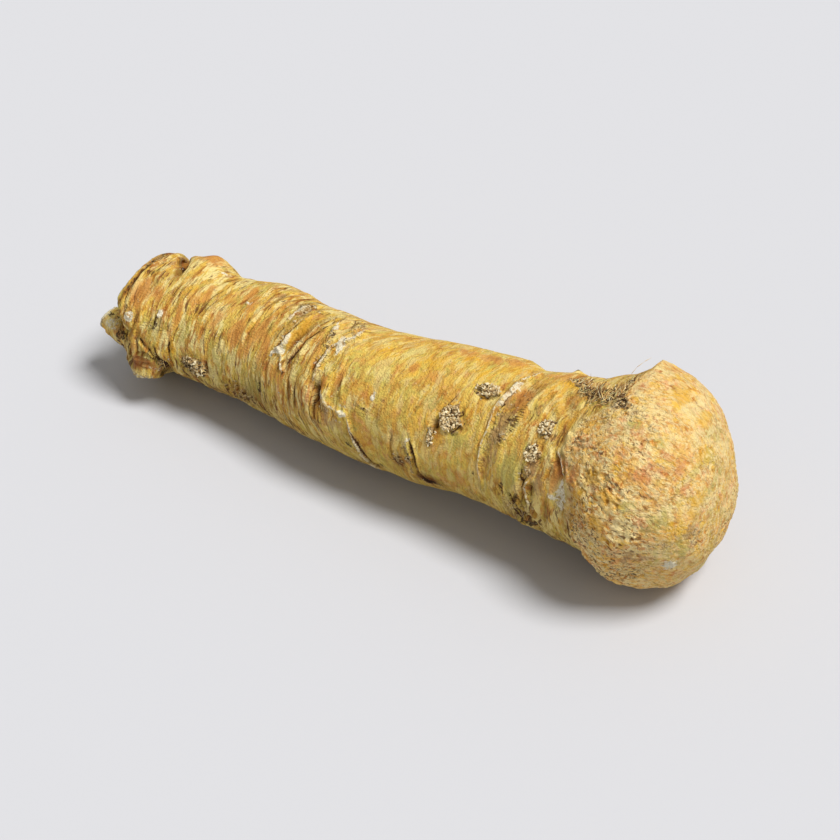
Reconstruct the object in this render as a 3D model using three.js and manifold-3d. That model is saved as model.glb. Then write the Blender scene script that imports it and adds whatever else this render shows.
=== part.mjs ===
// Horseradish root: one thick taproot, grown as one piece, lying on its side.
//
// Millimetres, +Z up. The root lies along X, with its cut lower end at -X and its swollen crown at +X.
// The origin is on the surface that it lies on, under the middle of its box.
// Angles round the root are in degrees: 0 is the top, and they grow over the -Y side towards the floor.

import * as THREE from "three";
import { mergeVertices } from "three/addons/utils/BufferGeometryUtils.js";
import Module from "manifold-3d";

const wasm = await Module();
wasm.setup();

// Driving dimensions
const SHAFT_LENGTH = 175; // from the cut end to the widest ring of the crown
const SHAFT_RADIUS = 20.5; // near the cut end
const CROWN_RADIUS = 32;
const CROWN_DEPTH = 26; // from the widest ring to the end of the crown
const CUT_END_X = -96; // where the middle of the cut end is
const FLOOR_FLAT = 0.6; // how deep the flats are on which the two ends rest
const BLOCK_SIZE = 3 * SHAFT_LENGTH; // of the cutting blocks, which are far larger than the root

// How finely the shapes are faceted
const SIDES = 48;
const SHAFT_RINGS = 46;
const CROWN_RINGS = 13;
const SIDE_GROWTH_SIDES = 18;

// The shaft, from the cut end to the crown. along is a part of SHAFT_LENGTH, girth is a multiple of
// SHAFT_RADIUS, and side and lift are how far the middle of the root strays from a straight line, in mm.
const STATIONS = [
  { along: -0.06, girth: 0.93, side: -1.2, lift: -0.4 },
  { along: 0.0, girth: 0.96, side: -0.8, lift: -0.2 },
  { along: 0.07, girth: 0.97, side: 1.2, lift: 0.0 },
  { along: 0.14, girth: 0.93, side: 2.4, lift: 0.2 },
  { along: 0.2, girth: 0.88, side: 2.2, lift: 0.3 },
  { along: 0.28, girth: 0.95, side: 2.2, lift: 0.2 },
  { along: 0.36, girth: 0.95, side: 0.0, lift: 0.0 },
  { along: 0.45, girth: 0.98, side: -1.8, lift: -0.2 },
  { along: 0.53, girth: 1.01, side: -1.8, lift: -0.2 },
  { along: 0.61, girth: 1.06, side: -1.0, lift: -0.2 },
  { along: 0.69, girth: 1.08, side: 0.0, lift: -0.2 },
  { along: 0.76, girth: 1.1, side: 0.2, lift: -0.1 },
  { along: 0.82, girth: 1.14, side: -0.2, lift: 0.0 },
  { along: 0.88, girth: 1.21, side: 0.2, lift: 0.0 },
  { along: 0.93, girth: 1.37, side: 1.0, lift: 0.0 },
  { along: 0.97, girth: 1.51, side: 1.2, lift: 0.0 },
  { along: 1.0, girth: CROWN_RADIUS / SHAFT_RADIUS, side: 1.0, lift: 0.0 },
];

// The crown's dome bulges more squarely than a ball.
const DOME_POWER = 2.35;

// The crown sits askew: its side at this angle lies further back by slope mm for each mm outwards. It turns
// from straight to askew between two parts of SHAFT_LENGTH.
const CROWN_LEAN = { angle: -45, slope: 0.15, from: 0.84, to: 0.97 };

// Swellings and hollows of the skin. rise is outwards in mm, at a place along X in mm and an angle in
// degrees, and it fades over reach mm along the root and spread degrees round it.
const SWELLINGS = [
  { x: -78, angle: -35, rise: 2.2, reach: 5, spread: 34 }, // lobe behind the cleft
  { x: -54, angle: -45, rise: 0.8, reach: 7, spread: 40 },
  { x: -40, angle: -45, rise: -0.6, reach: 6, spread: 40 },
  { x: 29, angle: -45, rise: 0.5, reach: 6, spread: 45 },
  { x: 42, angle: -45, rise: -0.9, reach: 7, spread: 45 },
  { x: 44, angle: 180, rise: -1.2, reach: 12, spread: 50 },
  { x: 58, angle: -35, rise: -0.6, reach: 6, spread: 50 }, // saddle under the crown
  { x: 65, angle: 125, rise: -1.2, reach: 4, spread: 45 }, // hollow under the crown
  { x: 82, angle: -45, rise: 1.2, reach: 9, spread: 45 },
  { x: 91, angle: 105, rise: -2.4, reach: 11, spread: 45 },
];

// The cut end leans by these many mm along X for each mm up, and for each mm towards +Y.
const CUT_LEAN = { up: 0.05, side: 0.12 };

// The low corner of the cut end is broken away: its face starts inset mm from the middle of the end, and
// runs back by slope mm for each mm outwards.
const BROKEN_CORNER = { angle: 112, inset: 7, slope: 0.8 };

// A narrow cleft round the top of the root, close to the cut end. The V-shaped cutting ring is larger than
// the root, so that it only bites on one side.
const CLEFT = { x: -86, angle: -28, width: 3.4, depth: 2.4, ringRadius: 36 };

// A short broken side shoot on the cut end, and a side root cut off close to the skin. Each grows from
// out mm from the middle of the root along its aim.
const SHOOT = { x: -90, angle: 108, out: 12.5, radius: 5.4, tipRadius: 4.4, length: 15, aim: [-1, 0.2, 0.42] };
const STUMP = { x: -85.5, angle: 98, out: 10, radius: 6.6, tipRadius: 5.8, length: 12, aim: [0.2, -0.62, -0.76] };

const TIP_ROUNDING = 0.18; // of the side shoot's and the stump's tips, as a part of the tip's radius

const FULL_TURN = 2 * Math.PI;
const MERGE_GAP = 1e-4; // vertices closer than this are one

/** The height of the root's middle above the floor, which rises evenly from the cut end to the crown. */
function middleHeight(along) {
  const atCut = SHAFT_RADIUS * STATIONS[1].girth - FLOOR_FLAT;
  const atCrown = CROWN_RADIUS - FLOOR_FLAT;
  return THREE.MathUtils.lerp(atCut, atCrown, THREE.MathUtils.clamp(along, 0, 1));
}

/** Smooth curves through the stations: the middle of the root, and its radius, at the same steps. */
function stationCurves() {
  const middle = STATIONS.map(
    ({ along, side, lift }) =>
      new THREE.Vector3(CUT_END_X + along * SHAFT_LENGTH, side, middleHeight(along) + lift),
  );
  const radius = STATIONS.map(({ along, girth }) => new THREE.Vector3(along, girth * SHAFT_RADIUS, 0));
  return {
    middle: new THREE.CatmullRomCurve3(middle, false, "catmullrom"),
    radius: new THREE.CatmullRomCurve3(radius, false, "catmullrom"),
  };
}

/** The rings of the root, from the cut end to the pole of the crown. */
function rootRings() {
  const curves = stationCurves();
  const rings = [];
  for (let i = 0; i <= SHAFT_RINGS; i += 1) {
    const middle = curves.middle.getPoint(i / SHAFT_RINGS);
    const { x: along, y: radius } = curves.radius.getPoint(i / SHAFT_RINGS);
    const lean = CROWN_LEAN.slope * THREE.MathUtils.smoothstep(along, CROWN_LEAN.from, CROWN_LEAN.to);
    rings.push({ middle, radius, lean });
  }
  const widest = rings[rings.length - 1].middle;
  for (let i = 1; i <= CROWN_RINGS; i += 1) {
    const turn = (i / CROWN_RINGS) * (FULL_TURN / 4);
    const middle = widest.clone();
    middle.x += CROWN_DEPTH * Math.sin(turn) ** (2 / DOME_POWER);
    const radius = CROWN_RADIUS * Math.cos(turn) ** (2 / DOME_POWER);
    rings.push({ middle, radius, lean: CROWN_LEAN.slope });
  }
  return rings;
}

/** How far the skin stands out at a place, from all the swellings and hollows. */
function swelling(x, angle) {
  let rise = 0;
  for (const bump of SWELLINGS) {
    const turned = THREE.MathUtils.euclideanModulo(angle - bump.angle + 180, 360) - 180;
    rise += bump.rise * Math.exp(-(((x - bump.x) / bump.reach) ** 2) - (turned / bump.spread) ** 2);
  }
  return rise;
}

/** A lathe's closed solid, with its axis turned from Y to X and its skin pushed out to the root's shape. */
function rootGeometry() {
  const rings = rootRings();
  const profile = [new THREE.Vector2(0, 0)];
  rings.forEach((ring, i) => profile.push(new THREE.Vector2(ring.radius, i)));
  profile[profile.length - 1].x = 0;
  const geometry = new THREE.LatheGeometry(profile, SIDES);
  const position = geometry.getAttribute("position");
  for (let i = 0; i < position.count; i += 1) {
    const ring = rings[Math.max(0, (i % profile.length) - 1)];
    const turn = (Math.floor(i / profile.length) / SIDES) * FULL_TURN;
    const onAxis = Math.hypot(position.getX(i), position.getZ(i)) < MERGE_GAP;
    const rise = swelling(ring.middle.x, THREE.MathUtils.radToDeg(turn)) * (ring.radius / SHAFT_RADIUS);
    const radius = onAxis ? 0 : ring.radius + rise;
    const lean = ring.lean * Math.cos(turn - THREE.MathUtils.degToRad(CROWN_LEAN.angle));
    position.setXYZ(
      i,
      ring.middle.x - lean * radius,
      ring.middle.y - radius * Math.sin(turn),
      ring.middle.z + radius * Math.cos(turn),
    );
  }
  return geometry;
}

/** A closed geometry as a solid that can be joined and cut. */
function solidFrom(geometry) {
  const bare = geometry.clone();
  bare.deleteAttribute("normal");
  bare.deleteAttribute("uv");
  const merged = mergeVertices(bare, MERGE_GAP);
  return new wasm.Manifold(
    new wasm.Mesh({
      numProp: 3,
      vertProperties: new Float32Array(merged.getAttribute("position").array),
      triVerts: new Uint32Array(merged.index.array),
    }),
  );
}

/** A solid's surface as a three.js geometry. */
function geometryFrom(solid) {
  const mesh = solid.getMesh();
  const geometry = new THREE.BufferGeometry();
  geometry.setAttribute("position", new THREE.BufferAttribute(mesh.vertProperties, 3));
  geometry.setIndex(new THREE.BufferAttribute(mesh.triVerts, 1));
  geometry.computeVertexNormals();
  return geometry;
}

/** The middle of the root at a place along X. */
function middleAt(x) {
  const along = (x - CUT_END_X) / SHAFT_LENGTH;
  return new THREE.Vector3(x, 0, middleHeight(along));
}

/** A direction out from the root's middle. */
function outward(angle) {
  const turn = THREE.MathUtils.degToRad(angle);
  return new THREE.Vector3(0, -Math.sin(turn), Math.cos(turn));
}

/** A tapered round stump with a rounded rim and a flat tip, pointing along aim from inside the root. */
function sideGrowth({ x, angle, out, radius, tipRadius, length, aim }) {
  const rim = tipRadius * TIP_ROUNDING;
  const profile = [
    new THREE.Vector2(0, 0),
    new THREE.Vector2(radius, 0),
    new THREE.Vector2((radius + tipRadius) / 2, length / 2),
    new THREE.Vector2(tipRadius, length - rim),
    new THREE.Vector2(tipRadius - rim, length),
    new THREE.Vector2(0, length),
  ];
  const geometry = new THREE.LatheGeometry(profile, SIDE_GROWTH_SIDES);
  const direction = new THREE.Vector3(...aim).normalize();
  const turn = new THREE.Quaternion().setFromUnitVectors(new THREE.Vector3(0, 1, 0), direction);
  const base = middleAt(x).addScaledVector(outward(angle), out);
  geometry.applyQuaternion(turn);
  geometry.translate(base.x, base.y, base.z);
  return geometry;
}

/** A large block with one face through a point, square to a normal that points out of the block. */
function cuttingBlock(point, normal) {
  const block = new THREE.BoxGeometry(BLOCK_SIZE, BLOCK_SIZE, BLOCK_SIZE);
  block.translate(-BLOCK_SIZE / 2, 0, 0);
  const turn = new THREE.Quaternion().setFromUnitVectors(new THREE.Vector3(1, 0, 0), normal.normalize());
  block.applyQuaternion(turn);
  block.translate(point.x, point.y, point.z);
  return block;
}

/** The block that makes the flats at the height of the floor. */
function floorBlock() {
  return cuttingBlock(new THREE.Vector3(0, 0, 0), new THREE.Vector3(0, 0, 1));
}

/** The block that makes the leaning face of the cut end. */
function endBlock() {
  return cuttingBlock(middleAt(CUT_END_X), new THREE.Vector3(1, -CUT_LEAN.side, -CUT_LEAN.up));
}

/** The block that makes the slanted face of the broken corner. */
function cornerBlock() {
  const out = outward(BROKEN_CORNER.angle);
  const start = middleAt(CUT_END_X).addScaledVector(out, BROKEN_CORNER.inset);
  return cuttingBlock(start, new THREE.Vector3(1, 0, 0).addScaledVector(out, -BROKEN_CORNER.slope));
}

/** A ring with a V-shaped inner edge, off the root's middle, so that it bites only where the cleft is. */
function cleftRing() {
  const rim = CLEFT.ringRadius + 2 * CLEFT.depth;
  const profile = [
    new THREE.Vector2(CLEFT.ringRadius, 0),
    new THREE.Vector2(rim, -CLEFT.width),
    new THREE.Vector2(rim, CLEFT.width),
    new THREE.Vector2(CLEFT.ringRadius, 0),
  ];
  const ring = new THREE.LatheGeometry(profile, SIDES);
  ring.rotateZ(-Math.PI / 2);
  const offset = CLEFT.ringRadius - (SHAFT_RADIUS - CLEFT.depth);
  const middle = middleAt(CLEFT.x).addScaledVector(outward(CLEFT.angle), -offset);
  ring.translate(middle.x, middle.y, middle.z);
  return ring;
}

const skin = new THREE.MeshStandardMaterial({ color: 0xc9b06a, roughness: 0.75, metalness: 0 });

/** The whole root as one solid, with the middle of its box over the origin. */
function horseradishRoot() {
  const solid = solidFrom(rootGeometry())
    .subtract(solidFrom(endBlock()))
    .subtract(solidFrom(cornerBlock()))
    .subtract(solidFrom(cleftRing()))
    .add(solidFrom(sideGrowth(SHOOT)))
    .add(solidFrom(sideGrowth(STUMP)))
    .subtract(solidFrom(floorBlock()));
  const geometry = geometryFrom(solid);
  geometry.computeBoundingBox();
  const middle = geometry.boundingBox.getCenter(new THREE.Vector3());
  geometry.translate(-middle.x, -middle.y, -geometry.boundingBox.min.z);
  const mesh = new THREE.Mesh(geometry, skin);
  mesh.name = "horseradish_root";
  return mesh;
}

const group = new THREE.Group();
group.add(horseradishRoot());

export default group;
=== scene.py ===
"""The looks of a horseradish root that lies on its side.

The skin is a fine mesh made from the CAD root. It carries the folds, cracks, scars and cut ends of a real
root. Crumbs of cork, bristles and hairs are pieces of their own.

Shapes are worked out in millimetres and become metres at the end. A place on the skin is written as x, angle:
x in mm along the root, and degrees round it, 0 on top and growing over the -Y side. The size of a patch of
skin is written as along, around: half its length along the root and half its length round it, in mm.
"""

import math
from collections import namedtuple
from itertools import combinations

import bpy
import numpy as np
from mathutils import Matrix, Vector
from mathutils.bvhtree import BVHTree


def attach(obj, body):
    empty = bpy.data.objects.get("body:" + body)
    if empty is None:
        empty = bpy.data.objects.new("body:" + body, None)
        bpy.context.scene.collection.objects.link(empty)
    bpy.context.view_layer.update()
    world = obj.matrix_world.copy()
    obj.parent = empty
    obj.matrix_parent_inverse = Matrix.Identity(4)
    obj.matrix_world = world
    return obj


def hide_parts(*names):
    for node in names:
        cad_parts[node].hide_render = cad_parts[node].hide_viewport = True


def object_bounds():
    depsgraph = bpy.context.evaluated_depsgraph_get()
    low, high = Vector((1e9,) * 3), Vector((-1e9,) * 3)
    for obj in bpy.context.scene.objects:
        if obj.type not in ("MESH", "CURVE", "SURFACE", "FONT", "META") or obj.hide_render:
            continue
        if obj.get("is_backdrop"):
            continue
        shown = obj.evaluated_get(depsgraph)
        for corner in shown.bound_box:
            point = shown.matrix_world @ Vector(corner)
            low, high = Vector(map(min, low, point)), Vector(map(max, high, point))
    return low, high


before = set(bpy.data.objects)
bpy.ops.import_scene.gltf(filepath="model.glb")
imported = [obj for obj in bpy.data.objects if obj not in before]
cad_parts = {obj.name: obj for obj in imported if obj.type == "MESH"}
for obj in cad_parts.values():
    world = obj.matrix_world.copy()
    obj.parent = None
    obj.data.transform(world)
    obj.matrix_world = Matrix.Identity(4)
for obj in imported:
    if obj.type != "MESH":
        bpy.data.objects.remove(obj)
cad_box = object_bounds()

NODE = "horseradish_root"
MM = 0.001

# The mesh of the skin
FINE_STEP = 0.42  # mm, of the fine mesh that the relief is worked out on
SMOOTHING_ROUNDS = 30
SMOOTHING = {"shaft": 0.5, "cut_end": 0.12}  # how far each round draws a point to its neighbours
SMOOTHING_CHANGE = (-80, -72)  # the stretch of x between the two
MOST_TRIANGLES = 196000
CUT_NORMAL_X = -0.97  # the faces of the cut end look at least this squarely to -X
CUT_BEFORE_X = -90
SHOOT_FROM = (-97, -100)  # the broken shoot sticks out beyond the cut end, and is lumpier

# The line through the middle of the root, from the cut end to the crown's widest ring
MIDDLE_START = np.array([-96.0, -1.5, 19.3])
MIDDLE_END = np.array([79.0, -0.8, 31.4])
OUTSIDE = 60  # mm from the middle line, further out than all of the skin

# The rings of the skin bow to -X on the side that faces the camera, by so many mm everywhere but at the cut
# end, and by more in the creased stretch.
FRONT = 50
RING_BOW = 4.0
RING_BOW_FROM = (-90, -72)
CREASED_BOW = 9.0
CREASED_STRETCH = (-20, 20)  # the x of its middle, and its width

# The crown
CROWN_FIBRES = (0.92, 0.13, -0.36)  # the way that its fibres lie
ROUGH_SIDE = 105  # the angle where it is roughest
TUFT_ANGLE = 5  # its edge is low there, under the tufts of bristles
SMOOTH_SADDLE = {"x": 57, "reach": 9, "angle": 2, "spread": 32}  # where the neck beside it has few wrinkles

# Camera and light
CAMERA = {"azimuth": 30, "elevation": 44, "distance": 0.84, "lens": 120}
CAMERA_TARGET = (0.0067, -0.0068, 0.025)
KEY_LIGHT = {"from": (0.42, 0.09, 0.93), "softness": 22, "strength": 3.1}
WORLD_STRENGTH = 0.33
FLOOR_COLOUR = "CFCFD2"
FLOOR_SIZE = 8.0

# Seeds of the random draws. Each noise has a seed of its own too.
SEEDS = {"crumbs": 5, "bristles": 6, "lines": 8, "stains": 9}
NOISE_SLOPES = 256  # a power of 2
NOISE_GAIN = 1.7  # brings the noise to about -1 to 1

# What is kept at each point of the skin for its material, from 0 to about 1. Some of it paints light and
# shade into the colour: shade in hollows, highlight on raised relief, and part of the underside's darker
# colour.
TINTS = (
    "orange", "green", "red", "yellow", "mauve", "cork", "dark", "pale", "crown", "rough", "arcs", "cut",
    "worn_and_highlight", "painted_shade", "wrinkled", "under", "nicks", "flesh_ring", "dark_line", "pale_line",
)

# Kinds of line in the skin. half_width, height, lip and grit are in mm: the line itself rises by height, a
# lip on each side of it by lip, and grit is how rough it is. dark and pale say how strongly a thin line of
# that shade is drawn along it, and cork and edge how brown its bed is and how pale its lips are. The dark
# thin line is partly the line's own colour and partly painted shade in its groove, and the pale lips are
# partly their own colour and partly painted highlight.
LineKind = namedtuple("LineKind", "half_width height lip grit dark pale cork edge")
LINE_KINDS = {
    "crack": LineKind(0.5, -0.8, 0.3, 0.1, 0.9, 0.0, 0.4, 0.2),
    "crease": LineKind(0.8, -1.0, 0.5, 0.15, 1.1, 0.0, 0.6, 0.3),
    "fold": LineKind(2.0, -1.2, 0.8, 0.1, 0.0, 0.0, 0.5, 0.1),
    "cleft": LineKind(1.2, -2.4, 0.3, 0.1, 1.5, 0.0, 0.7, 0.0),
    "valley": LineKind(1.6, -2.8, 0.3, 0.0, 0.0, 0.0, 0.2, 0.0),
    "ridge": LineKind(0.9, 0.8, -0.4, 0.5, 0.0, 1.0, 0.7, 0.3),
    "rim": LineKind(0.6, 0.5, -0.35, 0.1, 0.0, 0.55, 0.35, 0.0),
    "flake": LineKind(1.2, 0.6, -0.3, 0.5, 0.0, 1.5, 0.5, 0.5),
    "wrinkle": LineKind(0.55, -0.6, 0.3, 0.0, 0.35, 0.0, 0.3, 0.15),
    "streak": LineKind(0.8, -0.1, 0.0, 0.0, 0.0, 0.0, 1.0, 0.0),
}
NO_LINE = 9.0  # how many of its own widths away a thin line is where there is none
LINE_STEPS = (1.5, 4)  # the longest steps of a line's path: mm along the root, and degrees round it

# Lines of each kind: their strength, and their places from end to end.
LINES = {
    "crease": (
        (1, (-35.6, -24), (-34.8, -10), (-37.2, 4), (-38.4, 14), (-39.6, 31), (-40.6, 40)),
        (0.9, (-26, -26), (-26.6, -10), (-28.8, 7), (-31, 20), (-32.2, 33), (-34, 45), (-34.2, 58)),
        (0.5, (-17.8, -14), (-18.6, 4), (-20.8, 14), (-24, 24), (-25, 40), (-25.2, 56)),
        (0.35, (-86.6, 66), (-84.6, 72), (-82.6, 78), (-80.6, 85), (-79.6, 92)),
        (0.6, (-85.4, -28), (-84.2, -20), (-83, -10), (-83, -2)),
        (0.4, (-66.6, -6), (-68.4, 8), (-70.2, 24), (-71.2, 38)), (0.6, (49.6, 64), (49.8, 70), (50.8, 76)),
        (0.6, (52.2, 67), (50.8, 73), (50.6, 79), (51.6, 86), (53.4, 94)),
        (0.6, (46, 92), (48.6, 102), (52.6, 112), (56, 122)),
        (0.5, (58, 44), (59.4, 50), (60.6, 56), (61.8, 62)),
    ),
    "fold": (
        (0.8, (-36, -16), (-38.5, 4), (-40, 18), (-41.2, 34)),
        (0.6, (-29.6, -20), (-30.4, -4), (-32.6, 10), (-34.6, 24), (-35.4, 34)),
        (1, (-22.5, 52), (-21.4, 62), (-20.6, 74)), (0.7, (43, -8), (42, 8), (40, 24), (38.8, 40)),
        (0.35, (37.6, 34), (37.6, 48), (37.6, 62), (38.2, 76), (39.6, 90)),
        (0.8, (53, -2), (55.5, 8), (58, 16)), (0.8, (57, -8), (59.6, 2), (62, 9)),
    ),
    "ridge": (
        (0.5, (-39, -18), (-40, -6), (-40.6, 4), (-41, 14)),
        (1.1, (-16.5, -10), (-17, 5), (-19, 14), (-22, 23), (-22.9, 33), (-23.4, 45), (-23.4, 58)),
        (0.5, (41, -25), (39.2, -6), (37.8, 3), (36.4, 13)),
    ),
    "flake": (
        (0.8, (-36.6, 24), (-37.4, 32), (-38.6, 39), (-40.6, 42)), (0.5, (-25.6, -6), (-25, 2), (-25.4, 10)),
        (0.6, (-20.2, 59), (-18.4, 64), (-16, 68), (-13.4, 71)), (0.7, (-13.4, 70), (-11.4, 72), (-9.4, 73)),
        (0.4, (11.2, 72), (12, 78), (13, 85)), (0.5, (38.6, 4), (37.6, 12), (36.2, 22), (35.6, 29)),
    ),
    "rim": (
        (1.4, (-38.4, 38), (-36.8, 46), (-35.6, 52), (-34.6, 58)),
        (1.3, (-9.4, 72), (-7.8, 81), (-6.2, 89), (-4.6, 97), (-2, 110), (0, 120), (2, 130)),
        (0.9, (37.2, 8), (35.8, 18), (35, 30), (35.3, 47), (35, 60), (35.4, 73), (36.9, 86), (38.6, 103)),
        (1.3, (53.2, 69), (52, 74), (51.8, 79), (52.8, 85), (54.6, 92)),
        (1.6, (58.9, 44), (60.4, 50), (61.8, 55), (63.3, 60)),
    ),
    "crack": (
        (0.6, (-37.6, 20), (-38.6, 28), (-39.8, 36)), (0.7, (-22.9, -22), (-21.8, -12), (-21.4, -2)),
        (0.8, (-8.2, 80), (-5.6, 90), (-3.4, 100), (-0.8, 112), (1.6, 124)),
        (0.5, (-77.4, 46), (-77.6, 52), (-77.4, 58)), (0.8, (-76, 66), (-76.3, 73), (-76, 80)),
        (0.6, (-82.4, 44), (-82.2, 49), (-82, 56)), (0.5, (-88.4, 42), (-88, 50), (-87.8, 58)),
        (0.6, (-83.2, 78), (-81.4, 86), (-79.8, 93)), (0.6, (-84.6, 82), (-82.6, 88), (-80.4, 94)),
        (0.6, (-80.9, 74), (-80.4, 82), (-79.6, 90)), (0.8, (-86.2, 71), (-85, 74), (-83.8, 79)),
        (0.7, (-90.6, -36), (-92.6, -12), (-93.6, 8), (-94.2, 26), (-93.8, 42), (-92.2, 54)),
        (0.6, (-92, 22), (-91.4, 34), (-90.6, 44)), (0.5, (-89.4, 40), (-88.6, 50), (-88.6, 60), (-89.4, 70)),
        (0.5, (-42.6, 68), (-42.5, 78), (-42.1, 88)), (0.5, (-31.8, 64), (-31, 70), (-30, 78)),
        (0.6, (-29.4, 65), (-29, 73), (-28.2, 81)),
        (1.6, (11.8, 70), (13.2, 77), (14.6, 86), (15.2, 94), (16, 102), (18.2, 107), (21.6, 112)),
        (0.6, (22.4, 25), (21.6, 33), (20, 42), (19, 47)), (0.8, (25.4, 38), (26.4, 42), (25.4, 46)),
        (0.5, (40, -28), (38.2, -8), (36.6, 2), (35.2, 12)),
        (0.3, (34.4, 34), (34.7, 46), (34.3, 60), (34.7, 73), (36.2, 86)),
        (0.5, (38.6, 10), (37, 20), (36.2, 30)), (0.8, (46.6, 86), (48, 91), (49.2, 96)),
        (0.8, (43, 82), (44.4, 86), (45, 91)), (0.5, (59.6, 6), (60.4, 12)),
        (0.5, (64.6, 35.6), (66.4, 35), (68.2, 33.6)), (0.4, (68.4, 37.4), (70.8, 37), (73, 34.9)),
        (0.4, (69.8, 50), (72.4, 50.6)), (0.3, (100, 101), (101.4, 108)),
    ),
    "cleft": (
        (0.9, (-22.1, 57), (-21.5, 64), (-21, 72)), (0.8, (-92.6, 84), (-91.6, 76), (-91, 68), (-91.4, 60)),
        (1, (-79.6, 90), (-78, 96), (-77.4, 104), (-77.6, 117), (-78.2, 131), (-79, 146)),
        (0.5, (19, 50), (19.6, 55), (20, 59)), (0.5, (26.6, 49), (25.8, 54), (24.8, 58)),
        (0.5, (53.6, 74), (53.2, 79), (54, 84)), (0.6, (49, 99), (51.4, 102), (54, 101)),
    ),
    "streak": (
        (0.6, (-8, 59), (-5, 61), (-2, 62)), (0.8, (-81.6, 45), (-81.4, 52), (-81.2, 60)),
        (1.1, (10.8, 74), (12.4, 82), (13.4, 92), (14, 102), (16, 110)),
        (0.6, (38, 14), (36.6, 24), (36.5, 36), (36.9, 50), (36.5, 62), (36.9, 74), (38.2, 86)),
    ),
    "wrinkle": (
        (0.8, (-16, 40), (-15, 50), (-14, 60), (-13, 68)),
        (0.6, (-18, 12), (-18, 24), (-17.6, 36), (-17, 46)), (0.8, (-88.4, 94), (-85.4, 92), (-82.4, 94)),
        (0.8, (-88, 99), (-84.8, 98), (-81.8, 99)), (0.7, (-87, 88), (-84.6, 86), (-82.6, 87)),
        (0.8, (-88, -30), (-90, -12), (-91.6, 6), (-92.2, 22)),
        (1, (-64, -12), (-65.8, 4), (-67.8, 20), (-69.4, 36)), (1, (-71.4, 78), (-71.3, 88), (-70.8, 99)),
        (1, (-63.4, 76), (-63.2, 84), (-62.8, 92)), (0.9, (-56, 86), (-55.2, 102), (-54, 120)),
        (1.1, (-53.4, 90), (-52.8, 105), (-51.6, 122)), (0.9, (-51.2, 88), (-50.4, 103), (-49.2, 120)),
        (1.1, (-48.6, 91), (-48, 105), (-46.8, 121)), (0.9, (-46.2, 94), (-45.4, 106), (-44.4, 118)),
        (0.8, (-60, 40), (-59.6, 54), (-59, 66)), (0.7, (-66, 34), (-66.4, 48), (-65.8, 60)),
        (0.7, (-50, 14), (-50.8, 30), (-50.6, 48)), (1, (-45.4, -16), (-46.8, 2), (-48, 18)),
        (0.8, (-43, -22), (-44.2, -4), (-45, 12)), (0.9, (6.4, 72), (6.6, 82), (7, 92), (9.4, 102)),
        (1.1, (52, 80), (55, 92), (59, 105), (62, 116)), (1.1, (49, 84), (52, 96), (55.6, 108), (59, 120)),
        (0.9, (42, 84), (44.6, 96), (48, 108), (51, 120)), (0.7, (50, 2), (48.6, 18), (48.4, 32)),
        (0.8, (63.4, 38), (66, 38.6), (69, 38.8)),
    ),
    "valley": (
        (1.1, (-88, -62), (-87.6, -46), (-86.6, -32), (-84.8, -20), (-83.4, -9), (-83.4, -2), (-84.4, 5)),
    ),
}

# On the sides turned away from the camera lie more lines, at random places along the rings of the skin.
UNSEEN_KINDS = ("wrinkle", "wrinkle", "wrinkle", "crack", "streak", "crease", "fold", "rim", "ridge")
UNSEEN_LINES = 54
UNSEEN_X = (-90, 62)
UNSEEN_ANGLES = (132, 316)
UNSEEN_TURN = 9  # degrees from one place of such a line to the next

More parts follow.
